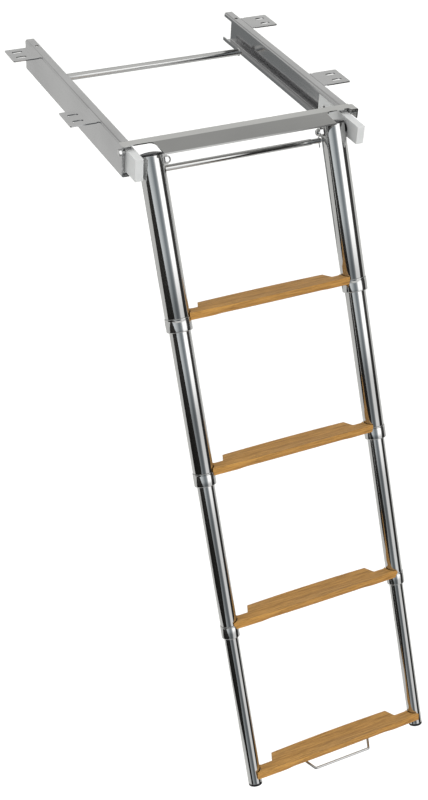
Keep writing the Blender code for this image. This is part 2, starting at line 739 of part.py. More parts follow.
def split_pin(parent):
    head_bottom = ROD_S - ROD_END_RADIUS - GAP
    head_top = head_bottom - PIN_HEAD_HEIGHT
    root = head_top + PIN_HEAD_HEIGHT / 3
    shank = rod(PIN_RADIUS, down(PIN_X, ROD_N, root), down(PIN_X, ROD_N, PIN_TIP_S))
    head = rod(PIN_HEAD_RADIUS, down(PIN_X, ROD_N, head_top), down(PIN_X, ROD_N, head_bottom))
    fused("split_pin", STEEL, [shank, head], parent)


def pull_handle(parent):
    """Bent wire handle: a grip in front, two splayed legs, and stubs turned up to the tread."""
    (grip_n, grip_s), (foot_n, foot_s) = HANDLE_GRIP, HANDLE_FOOT
    route = [
        down(-HANDLE_FOOT_HALF, foot_n, HANDLE_STUB_S),
        down(-HANDLE_FOOT_HALF, foot_n, foot_s),
        down(-HANDLE_GRIP_HALF, grip_n, grip_s),
        down(HANDLE_GRIP_HALF, grip_n, grip_s),
        down(HANDLE_FOOT_HALF, foot_n, foot_s),
        down(HANDLE_FOOT_HALF, foot_n, HANDLE_STUB_S),
    ]
    made = add("pull_handle", wire_mesh(route, HANDLE_RADIUS), STEEL, parent)
    shade_round(made)


# --- Assembly ---------------------------------------------------------------------------------------


def build():
    for side in (-1, 1):
        rail(side)
        stop_bolt(side)
    front_plate()
    tie_bar()

    carriage = empty("carriage", (0, 0, 0))
    for side in (-1, 1):
        slider(side, carriage)
        pivot_bolt(side, carriage)
        washer(side, carriage)
        dome_nut(side, carriage)

    swing = empty("ladder_swing_axis", (0, PIVOT_Y, PIVOT_Z), carriage, (-LEAN, 0, 0))
    parent = swing
    for section in range(4):
        if section:
            parent = empty(f"section_{section + 1}", (0, 0, 0), parent)
        for side in (-1, 1):
            upright(section, side, parent)
            if section:
                glide_bush(section, side, parent)
            if section < 3:
                collar(section, side, parent)
        tread(section, parent)
        if section == 0:
            outer, bore = TUBES[0]
            for side in (-1, 1):
                plug("top_cap", side, parent, outer, bore, TOP_CAP_S, TOP_CAP_FLANGE, CAP_SPIGOT, 1)
            cross_rod(parent)
            split_pin(parent)
    outer, bore = TUBES[3]
    for side in (-1, 1):
        plug("end_cap", side, parent, outer, bore, FOOT_S, END_CAP_FLANGE, CAP_SPIGOT, -1)
    pull_handle(parent)


build()
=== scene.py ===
"""Looks of the slide-out boarding ladder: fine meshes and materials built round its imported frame.

+X runs across the ladder, +Y forward under the platform, +Z up, in metres.  In the ladder's own frame,
Z runs up the uprights from the pivot, so s = -z is the distance down them, and n = -y is the distance out
of the uprights' plane, towards the climber.
"""

import json
import math

import bmesh
import bpy
from mathutils import Matrix, Quaternion, Vector


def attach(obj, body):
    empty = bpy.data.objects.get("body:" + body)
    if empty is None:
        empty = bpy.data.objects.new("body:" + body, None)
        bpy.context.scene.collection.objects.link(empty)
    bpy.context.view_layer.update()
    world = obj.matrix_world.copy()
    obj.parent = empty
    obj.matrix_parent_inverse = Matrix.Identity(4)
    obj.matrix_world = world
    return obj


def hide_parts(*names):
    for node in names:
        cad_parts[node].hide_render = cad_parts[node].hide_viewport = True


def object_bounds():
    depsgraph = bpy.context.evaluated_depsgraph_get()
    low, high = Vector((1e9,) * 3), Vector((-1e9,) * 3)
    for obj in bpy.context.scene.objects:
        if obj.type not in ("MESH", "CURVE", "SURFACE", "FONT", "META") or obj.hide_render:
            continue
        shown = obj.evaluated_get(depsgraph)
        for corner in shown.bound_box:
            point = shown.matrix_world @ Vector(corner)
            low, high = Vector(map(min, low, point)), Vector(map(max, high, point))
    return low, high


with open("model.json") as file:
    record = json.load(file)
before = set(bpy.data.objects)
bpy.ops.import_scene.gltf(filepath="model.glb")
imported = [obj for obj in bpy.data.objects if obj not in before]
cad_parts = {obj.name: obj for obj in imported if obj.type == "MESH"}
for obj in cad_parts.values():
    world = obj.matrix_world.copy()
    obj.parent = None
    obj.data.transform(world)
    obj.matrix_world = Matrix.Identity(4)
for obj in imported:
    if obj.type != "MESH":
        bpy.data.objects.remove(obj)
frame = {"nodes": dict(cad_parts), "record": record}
cad_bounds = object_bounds()

MM = 0.001
SIDES = {-1: "left", 1: "right"}
SECTIONS = (1, 2, 3, 4)
NODES = frame["nodes"]
RECORD = frame["record"]
JOINTS = {joint["name"]: joint for joint in RECORD["behaviour"]["joints"]}
BODY_OF = {node: body for body, nodes in RECORD["behaviour"]["bodies"].items() for node in nodes}

PIVOT = Vector(JOINTS["ladder_swing"]["pos_m"])
UPWARDS = Vector(JOINTS["section_2_slide"]["axis"])
LEAN = math.atan2(UPWARDS.y, UPWARDS.z)
LADDER = Matrix.Translation(PIVOT) @ Matrix.Rotation(-LEAN, 4, "X")
TREAD_TILT = math.radians(13)
TILTED = LADDER @ Matrix.Rotation(TREAD_TILT, 4, "X")


# --- Mesh helpers ---

TINY = 1e-6
CORNER_SHARE = 0.45
NEARLY_STRAIGHT = math.radians(85)
PIN_STEPS, HOLE_STEPS, BORE_STEPS, BOLT_STEPS, CAP_STEPS, TUBE_STEPS = 24, 32, 48, 64, 96, 128
ALONG_X = Matrix(((0, 0, 1, 0), (1, 0, 0, 0), (0, 1, 0, 0), (0, 0, 0, 1)))
ALONG_Y = Matrix(((1, 0, 0, 0), (0, 0, 1, 0), (0, 1, 0, 0), (0, 0, 0, 1)))


def span(node, place=Matrix()):
    """Lowest and highest corners of a CAD node in the frame of a matrix."""
    back = place.inverted()
    points = [back @ vertex.co for vertex in NODES[node].data.vertices]
    low = Vector(min(point[axis] for point in points) for axis in range(3))
    high = Vector(max(point[axis] for point in points) for axis in range(3))
    return low, high


def middle(node, place=Matrix()):
    """Centre of a CAD node's box in the frame of a matrix."""
    low, high = span(node, place)
    return (low + high) / 2


def reach_across(node):
    """How far from the middle of the ladder a node begins and ends, and half its height."""
    low, high = span(node)
    near, far = sorted((abs(low.x), abs(high.x)))
    return near, far, (high.z - low.z) / 2


def stood(name, data, place=Matrix()):
    """A new object in the scene, holding a mesh, curve, light or camera."""
    obj = bpy.data.objects.new(name, data)
    bpy.context.scene.collection.objects.link(obj)
    obj.matrix_world = place
    return obj


def finished(bm):
    """The mesh of a finished bmesh, its faces looking outwards."""
    bmesh.ops.recalc_face_normals(bm, faces=bm.faces)
    mesh = bpy.data.meshes.new("mesh")
    bm.to_mesh(mesh)
    bm.free()
    return mesh


def arc(centre, radius, start, end, steps):
    """Points of an arc, from one angle to another in degrees."""
    turns = [math.radians(start + (end - start) * i / steps) for i in range(steps + 1)]
    return [(centre[0] + radius * math.cos(t), centre[1] + radius * math.sin(t)) for t in turns]


def rounded(points, radius, steps=4):
    """A closed outline with each corner rounded, as far as its neighbours leave room."""
    made = []
    count = len(points)
    for i, corner in enumerate(points):
        corner = Vector(corner)
        back = Vector(points[i - 1]) - corner
        on = Vector(points[(i + 1) % count]) - corner
        half = back.angle(on) / 2
        reach = min(radius / math.tan(half), CORNER_SHARE * back.length, CORNER_SHARE * on.length)
        if half > NEARLY_STRAIGHT or reach < TINY:
            made.append(tuple(corner))
            continue
        inner = reach * math.tan(half)
        centre = corner + (back.normalized() + on.normalized()).normalized() * math.hypot(reach, inner)
        first = corner + back.normalized() * reach - centre
        last = corner + on.normalized() * reach - centre
        turn = first.angle_signed(last)
        for k in range(steps + 1):
            share = -turn * k / steps
            c, s = math.cos(share), math.sin(share)
            made.append((centre.x + c * first.x - s * first.y, centre.y + s * first.x + c * first.y))
    return made


def prism(outline, low, high, turn=Matrix()):
    """A flat outline carried from Z = low to Z = high, then turned."""
    bm = bmesh.new()
    face = bm.faces.new([bm.verts.new((x, y, low)) for x, y in outline])
    made = bmesh.ops.extrude_face_region(bm, geom=[face])
    moved = [item for item in made["geom"] if isinstance(item, bmesh.types.BMVert)]
    bmesh.ops.translate(bm, verts=moved, vec=(0, 0, high - low))
    bmesh.ops.transform(bm, matrix=turn, verts=bm.verts)
    return finished(bm)


def lathe(profile, segments, closed=True):
    """A profile of (radius, height) points turned about Z."""
    bm = bmesh.new()
    verts = [bm.verts.new((radius, 0, height)) for radius, height in profile]
    edges = [bm.edges.new(pair) for pair in zip(verts, verts[1:])]
    if closed:
        edges.append(bm.edges.new((verts[-1], verts[0])))
    turn = {"cent": (0, 0, 0), "axis": (0, 0, 1), "angle": math.tau}
    bmesh.ops.spin(bm, geom=verts + edges, steps=segments, use_merge=True, **turn)
    bmesh.ops.remove_doubles(bm, verts=bm.verts, dist=TINY)
    return finished(bm)


def box(low, high):
    """A box between two corners."""
    bm = bmesh.new()
    bmesh.ops.create_cube(bm, size=1)
    size = Vector(high) - Vector(low)
    middle = (Vector(high) + Vector(low)) / 2
    bmesh.ops.transform(bm, matrix=Matrix.Translation(middle) @ Matrix.Diagonal((*size, 1)), verts=bm.verts)
    return finished(bm)


def cylinder(radius, start, end, segments=BORE_STEPS):
    """A cylinder from one point to another."""
    start, end = Vector(start), Vector(end)
    bm = bmesh.new()
    depth = (end - start).length
    bmesh.ops.create_cone(bm, cap_ends=True, segments=segments, radius1=radius, radius2=radius, depth=depth)
    turn = (end - start).to_track_quat("Z", "Y").to_matrix().to_4x4()
    bmesh.ops.transform(bm, matrix=Matrix.Translation((start + end) / 2) @ turn, verts=bm.verts)
    return finished(bm)


def drill_down(radius, place, reach):
    """A round cutter along Z through the sheet at Z = 0, at a place (x, y)."""
    return cylinder(radius, (*place, -reach), (*place, reach), HOLE_STEPS)


def drill_across(radius, first, last, place, segments=HOLE_STEPS):
    """A round cutter along X, at a place (y, z)."""
    return cylinder(radius, (first, *place), (last, *place), segments)


def wire(points, radius):
    """A round wire along a polyline, as a closed mesh."""
    curve = bpy.data.curves.new("wire", "CURVE")
    curve.dimensions = "3D"
    curve.bevel_depth = radius
    curve.bevel_resolution = 6
    curve.use_fill_caps = True
    spline = curve.splines.new("POLY")
    spline.points.add(len(points) - 1)
    for point, where in zip(spline.points, points):
        point.co = (*where, 1)
    guide = stood("guide", curve)
    graph = bpy.context.evaluated_depsgraph_get()
    mesh = bpy.data.meshes.new_from_object(guide.evaluated_get(graph))
    bpy.data.objects.remove(guide)
    bm = bmesh.new()
    bm.from_mesh(mesh)
    bmesh.ops.remove_doubles(bm, verts=bm.verts, dist=TINY)
    return finished(bm)


def bent_path(points, radius, steps):
    """A 3D polyline with its inner corners replaced by arcs."""
    path = [Vector(points[0])]
    for before, corner, after in zip(points, points[1:], points[2:]):
        corner = Vector(corner)
        back = (Vector(before) - corner).normalized()
        on = (Vector(after) - corner).normalized()
        half = back.angle(on) / 2
        centre = corner + (back + on).normalized() * (radius / math.sin(half))
        first = corner + back * (radius / math.tan(half)) - centre
        last = corner + on * (radius / math.tan(half)) - centre
        turn = first.rotation_difference(last)
        path += [centre + Quaternion().slerp(turn, i / steps) @ first for i in range(steps + 1)]
    path.append(Vector(points[-1]))
    return path


def combined(mesh, other, operation="DIFFERENCE"):
    """The mesh with another one cut from it, joined to it or kept only inside it."""
    target = stood("target", mesh)
    tool = stood("tool", other)
    step = target.modifiers.new("boolean", "BOOLEAN")
    step.operation = operation
    step.object = tool
    graph = bpy.context.evaluated_depsgraph_get()
    made = bpy.data.meshes.new_from_object(target.evaluated_get(graph))
    bpy.data.objects.remove(target)
    bpy.data.objects.remove(tool)
    return made


def mirrored(mesh, side):
    """The mesh as built for the right side, or its mirror image for the left."""
    if side < 0:
        mesh.transform(Matrix.Scale(-1, 4, (1, 0, 0)))
        mesh.flip_normals()
    return mesh


def outwards(side, x, y, z):
    """The frame of a part whose Z points out to its side."""
    return Matrix.Translation((x, y, z)) @ Matrix.Rotation(side * math.radians(90), 4, "Y")


def shaded(name, mesh, material, place, edge, segments=2, angle=40):
    """An object with smooth shading up to an angle in degrees, and sharper edges rounded if wanted."""
    obj = stood(name, mesh, place)
    mesh.materials.clear()
    mesh.materials.append(material)
    mesh.shade_smooth()
    mesh.set_sharp_from_angle(angle=math.radians(angle))
    if edge:
        step = obj.modifiers.new("edge", "BEVEL")
        step.width = edge
        step.segments = segments
        step.limit_method = "ANGLE"
        step.angle_limit = math.radians(angle)
        step.harden_normals = True
    return obj


def piece(name, mesh, material, nodes, place=Matrix(), edge=0.0, segments=3, angle=40):
    """A finished piece that stands for its CAD nodes and rides with them."""
    obj = shaded(name, mesh, material, place, edge, segments, angle)
    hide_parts(*nodes)
    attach(obj, BODY_OF[nodes[0]])
    return obj


def extra(name, mesh, material, body, place, edge=0.0):
    """A small piece with no CAD node of its own."""
    obj = shaded(name, mesh, material, place, edge)
    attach(obj, body)


# --- Materials ---

# A mix node's share and two colours, and the colour that comes out.
MIX_INPUTS = (0, 6, 7)
MIX_OUTPUT = 2


def set_stops(node, stops):
    """Sets a colour ramp's stops, each a position and a grey or a colour."""
    elements = node.color_ramp.elements
    while len(elements) < len(stops):
        elements.new(0.5)
    for element, (position, colour) in zip(elements, stops):
        element.position = position
        colour = (colour,) * 3 if isinstance(colour, (int, float)) else colour
        element.color = (*colour, 1)


def scaled(colour, share):
    """A colour made lighter or darker."""
    return tuple(share * channel for channel in colour)


class Nodes:
    """Short calls for building one material's node tree, in the piece's own coordinates."""

    def __init__(self, name):
        self.material = bpy.data.materials.new(name)
        self.material.use_nodes = True
        self.tree = self.material.node_tree
        self.shader = self.tree.nodes["Principled BSDF"]
        self.place = self.add("ShaderNodeTexCoord").outputs["Object"]

    def feed(self, socket, value):
        """Links an output to a socket, or gives the socket a fixed value."""
        if hasattr(value, "is_linked"):
            self.tree.links.new(value, socket)
        else:
            socket.default_value = value

    def add(self, kind, **values):
        node = self.tree.nodes.new(kind)
        for name, value in values.items():
            self.feed(node.inputs[name], value)
        return node

    def stretched(self, x, y, z):
        """The piece's coordinates, scaled along each axis."""
        return self.add("ShaderNodeMapping", Scale=(x, y, z), Vector=self.place).outputs["Vector"]

    def noise(self, vector, scale=1.0, detail=3.0, roughness=0.5):
        node = self.add("ShaderNodeTexNoise", Vector=vector, Scale=scale, Detail=detail, Roughness=roughness)
        return node.outputs["Fac"]

    def ramp(self, value, *stops):
        node = self.add("ShaderNodeValToRGB", Fac=value)
        set_stops(node, stops)
        return node.outputs["Color"]

    def mix(self, share, first, second, blend="MIX"):
        """A share of the second colour over the first; each is an output or a fixed colour."""
        node = self.tree.nodes.new("ShaderNodeMix")
        node.data_type = "RGBA"
        node.blend_type = blend
        for number, value in zip(MIX_INPUTS, (share, first, second)):
            self.feed(node.inputs[number], (*value, 1) if isinstance(value, tuple) else value)
        return node.outputs[MIX_OUTPUT]

    def maths(self, operation, first, second):
        node = self.tree.nodes.new("ShaderNodeMath")
        node.operation = operation
        for socket, value in zip(node.inputs, (first, second)):
            self.feed(socket, value)
        return node.outputs["Value"]

    def bump(self, height, strength, distance):
        node = self.add("ShaderNodeBump", Height=height, Strength=strength, Distance=distance)
        self.link(node.outputs["Normal"], "Normal")

    def link(self, output, name):
        self.tree.links.new(output, self.shader.inputs[name])

    def set(self, **values):
        for name, value in values.items():
            self.shader.inputs[name.replace("_", " ")].default_value = value


def steel(name, colour, rough, streak, bump=0.02):
    """Stainless steel: reflections blurred unevenly by fine polishing lines, with faint smears."""
    nodes = Nodes(name)
    nodes.set(Metallic=1.0)
    lines = nodes.noise(nodes.stretched(*streak), detail=4.0, roughness=0.65)
    smears = nodes.noise(nodes.stretched(9, 9, 9), detail=3.0)
    low, high = rough
    wear = nodes.maths("MULTIPLY", lines, smears)
    nodes.link(nodes.ramp(wear, (0.12, low), (0.42, high)), "Roughness")
    patches = nodes.ramp(smears, (0.35, 0.0), (0.7, 1.0))
    nodes.link(nodes.mix(patches, colour, scaled(colour, 0.9)), "Base Color")
    nodes.bump(lines, bump, 0.0004)
    return nodes.material


def teak(name, light, dark, grey, pore_depth):
    """Oiled wood: long fibres, darker growth bands and short open pores along X."""
    nodes = Nodes(name)
    nodes.set(Specular_IOR_Level=0.3)
    waver = nodes.noise(nodes.stretched(5, 20, 20), detail=2.0)
    bands = nodes.noise(nodes.stretched(4, 130, 130), detail=5.0, roughness=0.6)
    fibres = nodes.noise(nodes.stretched(24, 420, 420), detail=6.0, roughness=0.75)
    pores = nodes.noise(nodes.stretched(70, 1500, 1500), detail=2.0, roughness=0.6)
    tone = nodes.mix(nodes.ramp(bands, (0.36, 0.0), (0.64, 1.0)), light, dark)
    tone = nodes.mix(nodes.ramp(waver, (0.45, 0.0), (0.75, 0.55)), tone, grey)
    streaked = nodes.mix(nodes.ramp(fibres, (0.36, 0.75), (0.56, 0.0)), tone, scaled(dark, 0.45))
    pitted = nodes.mix(nodes.ramp(pores, (0.3, 0.5), (0.4, 0.0)), streaked, scaled(dark, 0.25))
    nodes.link(pitted, "Base Color")
    nodes.link(nodes.ramp(fibres, (0.3, 0.62), (0.7, 0.42)), "Roughness")
    nodes.bump(nodes.mix(0.5, fibres, nodes.ramp(pores, (0.28, 0.0), (0.42, 1.0))), pore_depth, 0.0003)
    return nodes.material


def nylon(name, colour, scatter):
    """Milky plastic with faint milling marks along the rail."""
    nodes = Nodes(name)
    nodes.set(Subsurface_Weight=scatter, Subsurface_Scale=0.004, Subsurface_Radius=(1.0, 1.0, 1.0), IOR=1.53)
    cloud = nodes.noise(nodes.stretched(60, 30, 60), detail=3.0)
    marks = nodes.noise(nodes.stretched(900, 40, 900), detail=3.0, roughness=0.6)
    nodes.link(nodes.mix(cloud, scaled(colour, 0.93), colour), "Base Color")
    nodes.link(nodes.ramp(marks, (0.3, 0.32), (0.7, 0.5)), "Roughness")
    nodes.bump(marks, 0.08, 0.0003)
    return nodes.material


def moulded(name, colour, rough):
    """Moulded plastic with a fine even grain and rubbed patches."""
    nodes = Nodes(name)
    grain = nodes.noise(nodes.stretched(2500, 2500, 2500), detail=2.0)
    rubbed = nodes.noise(nodes.stretched(120, 120, 120), detail=3.0)
    nodes.link(nodes.mix(rubbed, colour, scaled(colour, 1.8)), "Base Color")
    low, high = rough
    nodes.link(nodes.ramp(rubbed, (0.35, low), (0.7, high)), "Roughness")
    nodes.bump(grain, 0.06, 0.0001)
    return nodes.material


TUBE_STEEL = steel("mirror_tube", (0.66, 0.66, 0.655), (0.03, 0.16), (260, 260, 2.5), 0.015)
SHEET_STEEL = steel("polished_sheet", (0.54, 0.54, 0.545), (0.08, 0.22), (500, 6, 500), 0.02)
PLATE_STEEL = steel("polished_plate", (0.60, 0.60, 0.59), (0.03, 0.10), (5, 600, 600), 0.01)
ROD_STEEL = steel("polished_rod", (0.56, 0.56, 0.555), (0.04, 0.16), (300, 300, 4), 0.02)
BOLT_STEEL = steel("turned_steel", (0.62, 0.62, 0.62), (0.08, 0.25), (400, 400, 400), 0.04)
DARK_STEEL = steel("dark_screw", (0.16, 0.16, 0.16), (0.1, 0.3), (400, 400, 400), 0.04)
# Three lit and shaded copies of one teak: painted light on the tread's front and sides, painted shade on its
# top, and darker painted shade along its rounded edges.
TEAK_TOP_PAINTED_SHADE = teak("teak_top_painted_shade", (0.50, 0.265, 0.068), (0.33, 0.165, 0.040), (0.36, 0.21, 0.080), 0.35)
TEAK_FRONT_PAINTED_LIGHT = teak("teak_front_painted_light", (0.52, 0.265, 0.055), (0.38, 0.175, 0.032), (0.40, 0.21, 0.055), 0.2)
TEAK_EDGE_PAINTED_SHADE = teak("teak_edge_painted_shade", (0.17, 0.085, 0.019), (0.125, 0.06, 0.013), (0.14, 0.075, 0.022), 0.2)
NYLON = nylon("white_nylon", (0.60, 0.61, 0.61), 0.3)
GREY_NYLON = moulded("grey_nylon", (0.30, 0.31, 0.32), (0.4, 0.55))
BLACK = moulded("black_plastic", (0.010, 0.010, 0.011), (0.12, 0.3))


# --- Fixed frame ---

SHEET = 2 * MM
BEND = 3.5 * MM
GAP = 0.3 * MM
OVERRUN = 5 * MM
RAIL_LOW, RAIL_HIGH = span("rail_right")
PLATE_LOW, PLATE_HIGH = span("front_plate")
RAIL_OUTER = -PLATE_LOW.x
RAIL_INNER = RAIL_LOW.x
RAIL_DEPTH = -RAIL_LOW.z
RAIL_END = RAIL_HIGH.y
TAB_OUTER = RAIL_HIGH.x
TOP_LIP, BOTTOM_LIP = 7 * MM, 8 * MM
TABS = ((86 * MM, 136.5 * MM), (346 * MM, 394 * MM))
TAB_ROOT, TAB_CORNER, TAB_SKIN = 1.8 * MM, 2 * MM, 0.02 * MM
TAB_NOTCH, NOTCH_REACH = 3 * MM, 4 * MM
SLOT_X, SLOT_LENGTH, SLOT_WIDTH, SLOT_REACH = 231 * MM, 18 * MM, 6 * MM, 8 * MM
SLOT_SHARES = (0.28, 0.72)
FLANGE_HOLE, FLANGE_HOLE_RADIUS = (190.5 * MM, 395 * MM), 3 * MM
STRIP_REAR_Y = PLATE_HIGH.y
BAND_FRONT_Y = PLATE_LOW.y
STRIP_FRONT_Y = -4 * MM
CREASE_Y = -4.4 * MM
BAND_HALF = 149 * MM
BAND_SLOPE = math.radians(3)
BAND_CORNER = 10 * MM
LIP_BOTTOM, LIP_DEPTH = 4.7 * MM, 2.5 * MM
CUTTER_X, CUTTER_Y, CUTTER_HALF = 250 * MM, -80 * MM, 20 * MM
EAR_SPAN = (-10 * MM, 8 * MM)
EAR_ROOT, EAR_SKIN, EAR_BEND = 6 * MM, 0.1 * MM, 2.6 * MM
STOP_AT = middle("stop_bolt_left").yz
STOP_BORE, STOP_SHANK, STOP_HEAD, STOP_TIP = 3.3 * MM, 3 * MM, 4.2 * MM, 0.5 * MM
HEX_TOP, HEX_CORNER, HEX_SHOULDER = 0.98, 1.08, 0.74
WELD, WELD_ROOT = 1.4 * MM, 0.5 * MM


def channel_outline():
    """Right rail's section as (x, z), round its outer faces and back along its inner faces."""
    left, right, top, bottom = RAIL_INNER + BEND, RAIL_OUTER - BEND, -BEND, BEND - RAIL_DEPTH
    corners = ((left, top, 180), (right, top, 90), (right, bottom, 0), (left, bottom, -90))
    outline = [(RAIL_INNER, -TOP_LIP)]
    for x, z, turn in corners:
        outline += arc((x, z), BEND, turn, turn - 90, 10)
    lip_end = BOTTOM_LIP - RAIL_DEPTH
    outline += [(RAIL_INNER, lip_end), (RAIL_INNER + SHEET, lip_end)]
    for x, z, turn in reversed(corners):
        outline += arc((x, z), BEND - SHEET, turn - 90, turn, 6)
    return outline + [(RAIL_INNER + SHEET, -TOP_LIP)]


def slot_outline(x, y):
    """A slot with round ends, long across the ladder."""
    reach, radius = (SLOT_LENGTH - SLOT_WIDTH) / 2, SLOT_WIDTH / 2
    return arc((x + reach, y), radius, -90, 90, 12) + arc((x - reach, y), radius, 90, 270, 12)


def slotted_tab(first, last):
    """A flat tab with rounded corners and its two slots, from one Y to another."""
    root = RAIL_OUTER - TAB_ROOT
    corners = [(root, first), (TAB_OUTER, first), (TAB_OUTER, last), (root, last)]
    mesh = prism(rounded(corners, TAB_CORNER, 5), -SHEET, -TAB_SKIN)
    for share in SLOT_SHARES:
        slot = prism(slot_outline(SLOT_X, first + share * (last - first)), -SLOT_REACH, SLOT_REACH)
        mesh = combined(mesh, slot)
    return mesh


def rail(side):
    """Lipped channel with two tabs notched at their roots, its holes, and a seat for the front plate."""
    mesh = prism(channel_outline(), 0, RAIL_END, ALONG_Y)
    for first, last in TABS:
        mesh = combined(mesh, slotted_tab(first, last), "UNION")
        for edge in (first - TAB_NOTCH / 2, last + TAB_NOTCH / 2):
            mesh = combined(mesh, drill_down(TAB_NOTCH, (RAIL_OUTER + TAB_NOTCH, edge), NOTCH_REACH))
    mesh = combined(mesh, drill_down(FLANGE_HOLE_RADIUS, FLANGE_HOLE, OVERRUN))
    seat_low = (RAIL_INNER - OVERRUN, -OVERRUN, -SHEET - GAP)
    mesh = combined(mesh, box(seat_low, (RAIL_OUTER + OVERRUN, STRIP_REAR_Y + GAP, OVERRUN)))
    mesh = combined(mesh, drill_across(STOP_BORE, RAIL_OUTER - OVERRUN, RAIL_OUTER + OVERRUN, STOP_AT))
    node = f"rail_{SIDES[side]}"
    piece(f"{node}_channel", mirrored(mesh, side), SHEET_STEEL, [node], edge=0.25 * MM, segments=2, angle=50)


def plate_section():
    """Section of the front plate as (y, z): flat strip, soft crease, sloping band and its lip."""
    lip_rear, slope = BAND_FRONT_Y + LIP_DEPTH, math.tan(BAND_SLOPE)
    return [
        (STRIP_REAR_Y, 0),
        (CREASE_Y, 0),
        (BAND_FRONT_Y, -(CREASE_Y - BAND_FRONT_Y) * slope),
        (BAND_FRONT_Y, -LIP_BOTTOM),
        (lip_rear, -LIP_BOTTOM),
        (lip_rear, -(CREASE_Y - lip_rear) * slope - SHEET),
        (CREASE_Y, -SHEET),
        (STRIP_REAR_Y, -SHEET),
    ]


def band_corner():
    """Cutter for the space beside the band, rounded where the band meets the strip."""
    centre = (BAND_HALF + BAND_CORNER, STRIP_FRONT_Y - BAND_CORNER)
    outline = arc(centre, BAND_CORNER, 90, 180, 12)
    outline += [(BAND_HALF, CUTTER_Y), (CUTTER_X, CUTTER_Y), (CUTTER_X, STRIP_FRONT_Y)]
    return prism(outline, -CUTTER_HALF, CUTTER_HALF)


def ear():
    """The strip's right end, bent down the side of the rail."""
    outer_x, inner_x, bottom = PLATE_HIGH.x, RAIL_OUTER - EAR_ROOT, PLATE_LOW.z
    centre = (outer_x - EAR_BEND, -EAR_SKIN - EAR_BEND)
    outline = [(inner_x, -EAR_SKIN)]
    outline += arc(centre, EAR_BEND, 90, 0, 16)
    outline += [(outer_x, bottom), (outer_x - SHEET, bottom)]
    outline += arc(centre, EAR_BEND - SHEET, 0, 90, 4)
    outline += [(inner_x, -SHEET - EAR_SKIN / 2)]
    return prism(outline, *EAR_SPAN, ALONG_Y)


def front_plate():
    """Polished strip and band with a soft crease between them, and the ear at the right end."""
    mesh = prism(plate_section(), -RAIL_OUTER, RAIL_OUTER, ALONG_X)
    for side in SIDES:
        mesh = combined(mesh, mirrored(band_corner(), side))
    mesh = combined(mesh, ear(), "UNION")
    outer_x = PLATE_HIGH.x
    mesh = combined(mesh, drill_across(STOP_BORE, outer_x - EAR_ROOT, outer_x + 2 * SHEET, STOP_AT))
    obj = piece("front_plate_sheet", mesh, PLATE_STEEL, ["front_plate"], edge=0.3 * MM, segments=2, angle=30)
    obj.data.set_sharp_from_angle(angle=BAND_SLOPE / 2)


def hexagon(radius, height):
    """A hexagon nut or head with its flat base at Z = 0 and its corners turned off at the top."""
    bm = bmesh.new()
    bmesh.ops.create_cone(bm, cap_ends=True, segments=6, radius1=radius, radius2=radius, depth=height)
    bmesh.ops.translate(bm, verts=bm.verts, vec=(0, 0, height / 2))
    flat, corner = radius * math.cos(math.pi / 6), radius * HEX_CORNER
    cone = [(0, height), (flat * HEX_TOP, height), (corner, height * HEX_SHOULDER), (corner, 0), (0, 0)]
    return combined(finished(bm), lathe(cone, BOLT_STEPS, closed=False), "INTERSECT")


def stop_bolt(side):
    """Hexagon head on a round shank with a chamfered tip."""
    node = f"stop_bolt_{SIDES[side]}"
    near, far, radius = reach_across(node)
    neck = far - near - STOP_HEAD
    mesh = hexagon(radius, STOP_HEAD)
    mesh.transform(Matrix.Translation((0, 0, neck)))
    shank = [(0, 0), (STOP_SHANK - STOP_TIP, 0), (STOP_SHANK, STOP_TIP)]
    shank += [(STOP_SHANK, neck + STOP_TIP), (0, neck + STOP_TIP)]
    mesh = combined(mesh, lathe(shank, HOLE_STEPS, closed=False), "UNION")
    place = outwards(side, side * near, *STOP_AT)
    piece(f"{node}_turned", mesh, BOLT_STEEL, [node], place, edge=0.15 * MM, segments=2)


def rod_profile(radius, length, edge):
    """Half section of a rod with rounded ends."""
    first_end = arc((radius - edge, edge), edge, -90, 0, 3)
    last_end = arc((radius - edge, length - edge), edge, 0, 90, 3)
    return [(0, 0), (radius - edge, 0), *first_end, *last_end, (0, length)]


def tie_bar():
    """Round bar between the rails, with a bead of weld at each end."""
    low, high = span("rear_tie_bar")
    radius = (high.z - low.z) / 2
    _, y, z = middle("rear_tie_bar")
    mesh = lathe(rod_profile(radius, high.x - low.x, 0.3 * MM), BOLT_STEPS, closed=False)
    piece("rear_tie_bar_round", mesh, ROD_STEEL, ["rear_tie_bar"], outwards(1, low.x, y, z))
    root = radius - WELD_ROOT
    for side in SIDES:
        bead = lathe([(root, 0), *arc((radius, 0), WELD, 0, 90, 5), (root, WELD)], BORE_STEPS)
        place = outwards(-side, side * high.x, y, z)
        extra(f"tie_bar_weld_{SIDES[side]}", bead, BOLT_STEEL, "frame", place)


# --- Sliders and pivots ---

SLIDER_STEP_Y = 6.3 * MM
NOSE_OUTER_X = 193.5 * MM
NOSE_TOP_Z = -8 * MM
NOSE_ROOT = 1 * MM
PIVOT_AT = (PIVOT.y, PIVOT.z)
PIVOT_RADIUS = 4 * MM
PIVOT_BORE_X = (170 * MM, 191.8 * MM)
SLIDER_SCREWS_Y = (45 * MM, 58 * MM)
SLIDER_SCREWS_Z = (-TOP_LIP - RAIL_DEPTH + BOTTOM_LIP) / 2
RECESS_RADIUS, RECESS_DEPTH, SCREW_SEAT = 4.3 * MM, 1.8 * MM, 1.7 * MM
SCREW_RIM, SCREW_RISE, SCREW_ROUND = 3.8 * MM, 0.9 * MM, 0.6 * MM
SOCKET_RADIUS, SOCKET_SPAN = 2.2 * MM, (0.4 * MM, 3 * MM)
NUT_BASE, DOME_RADIUS, NUT_OVERLAP = 6.5 * MM, 5.9 * MM, 1 * MM


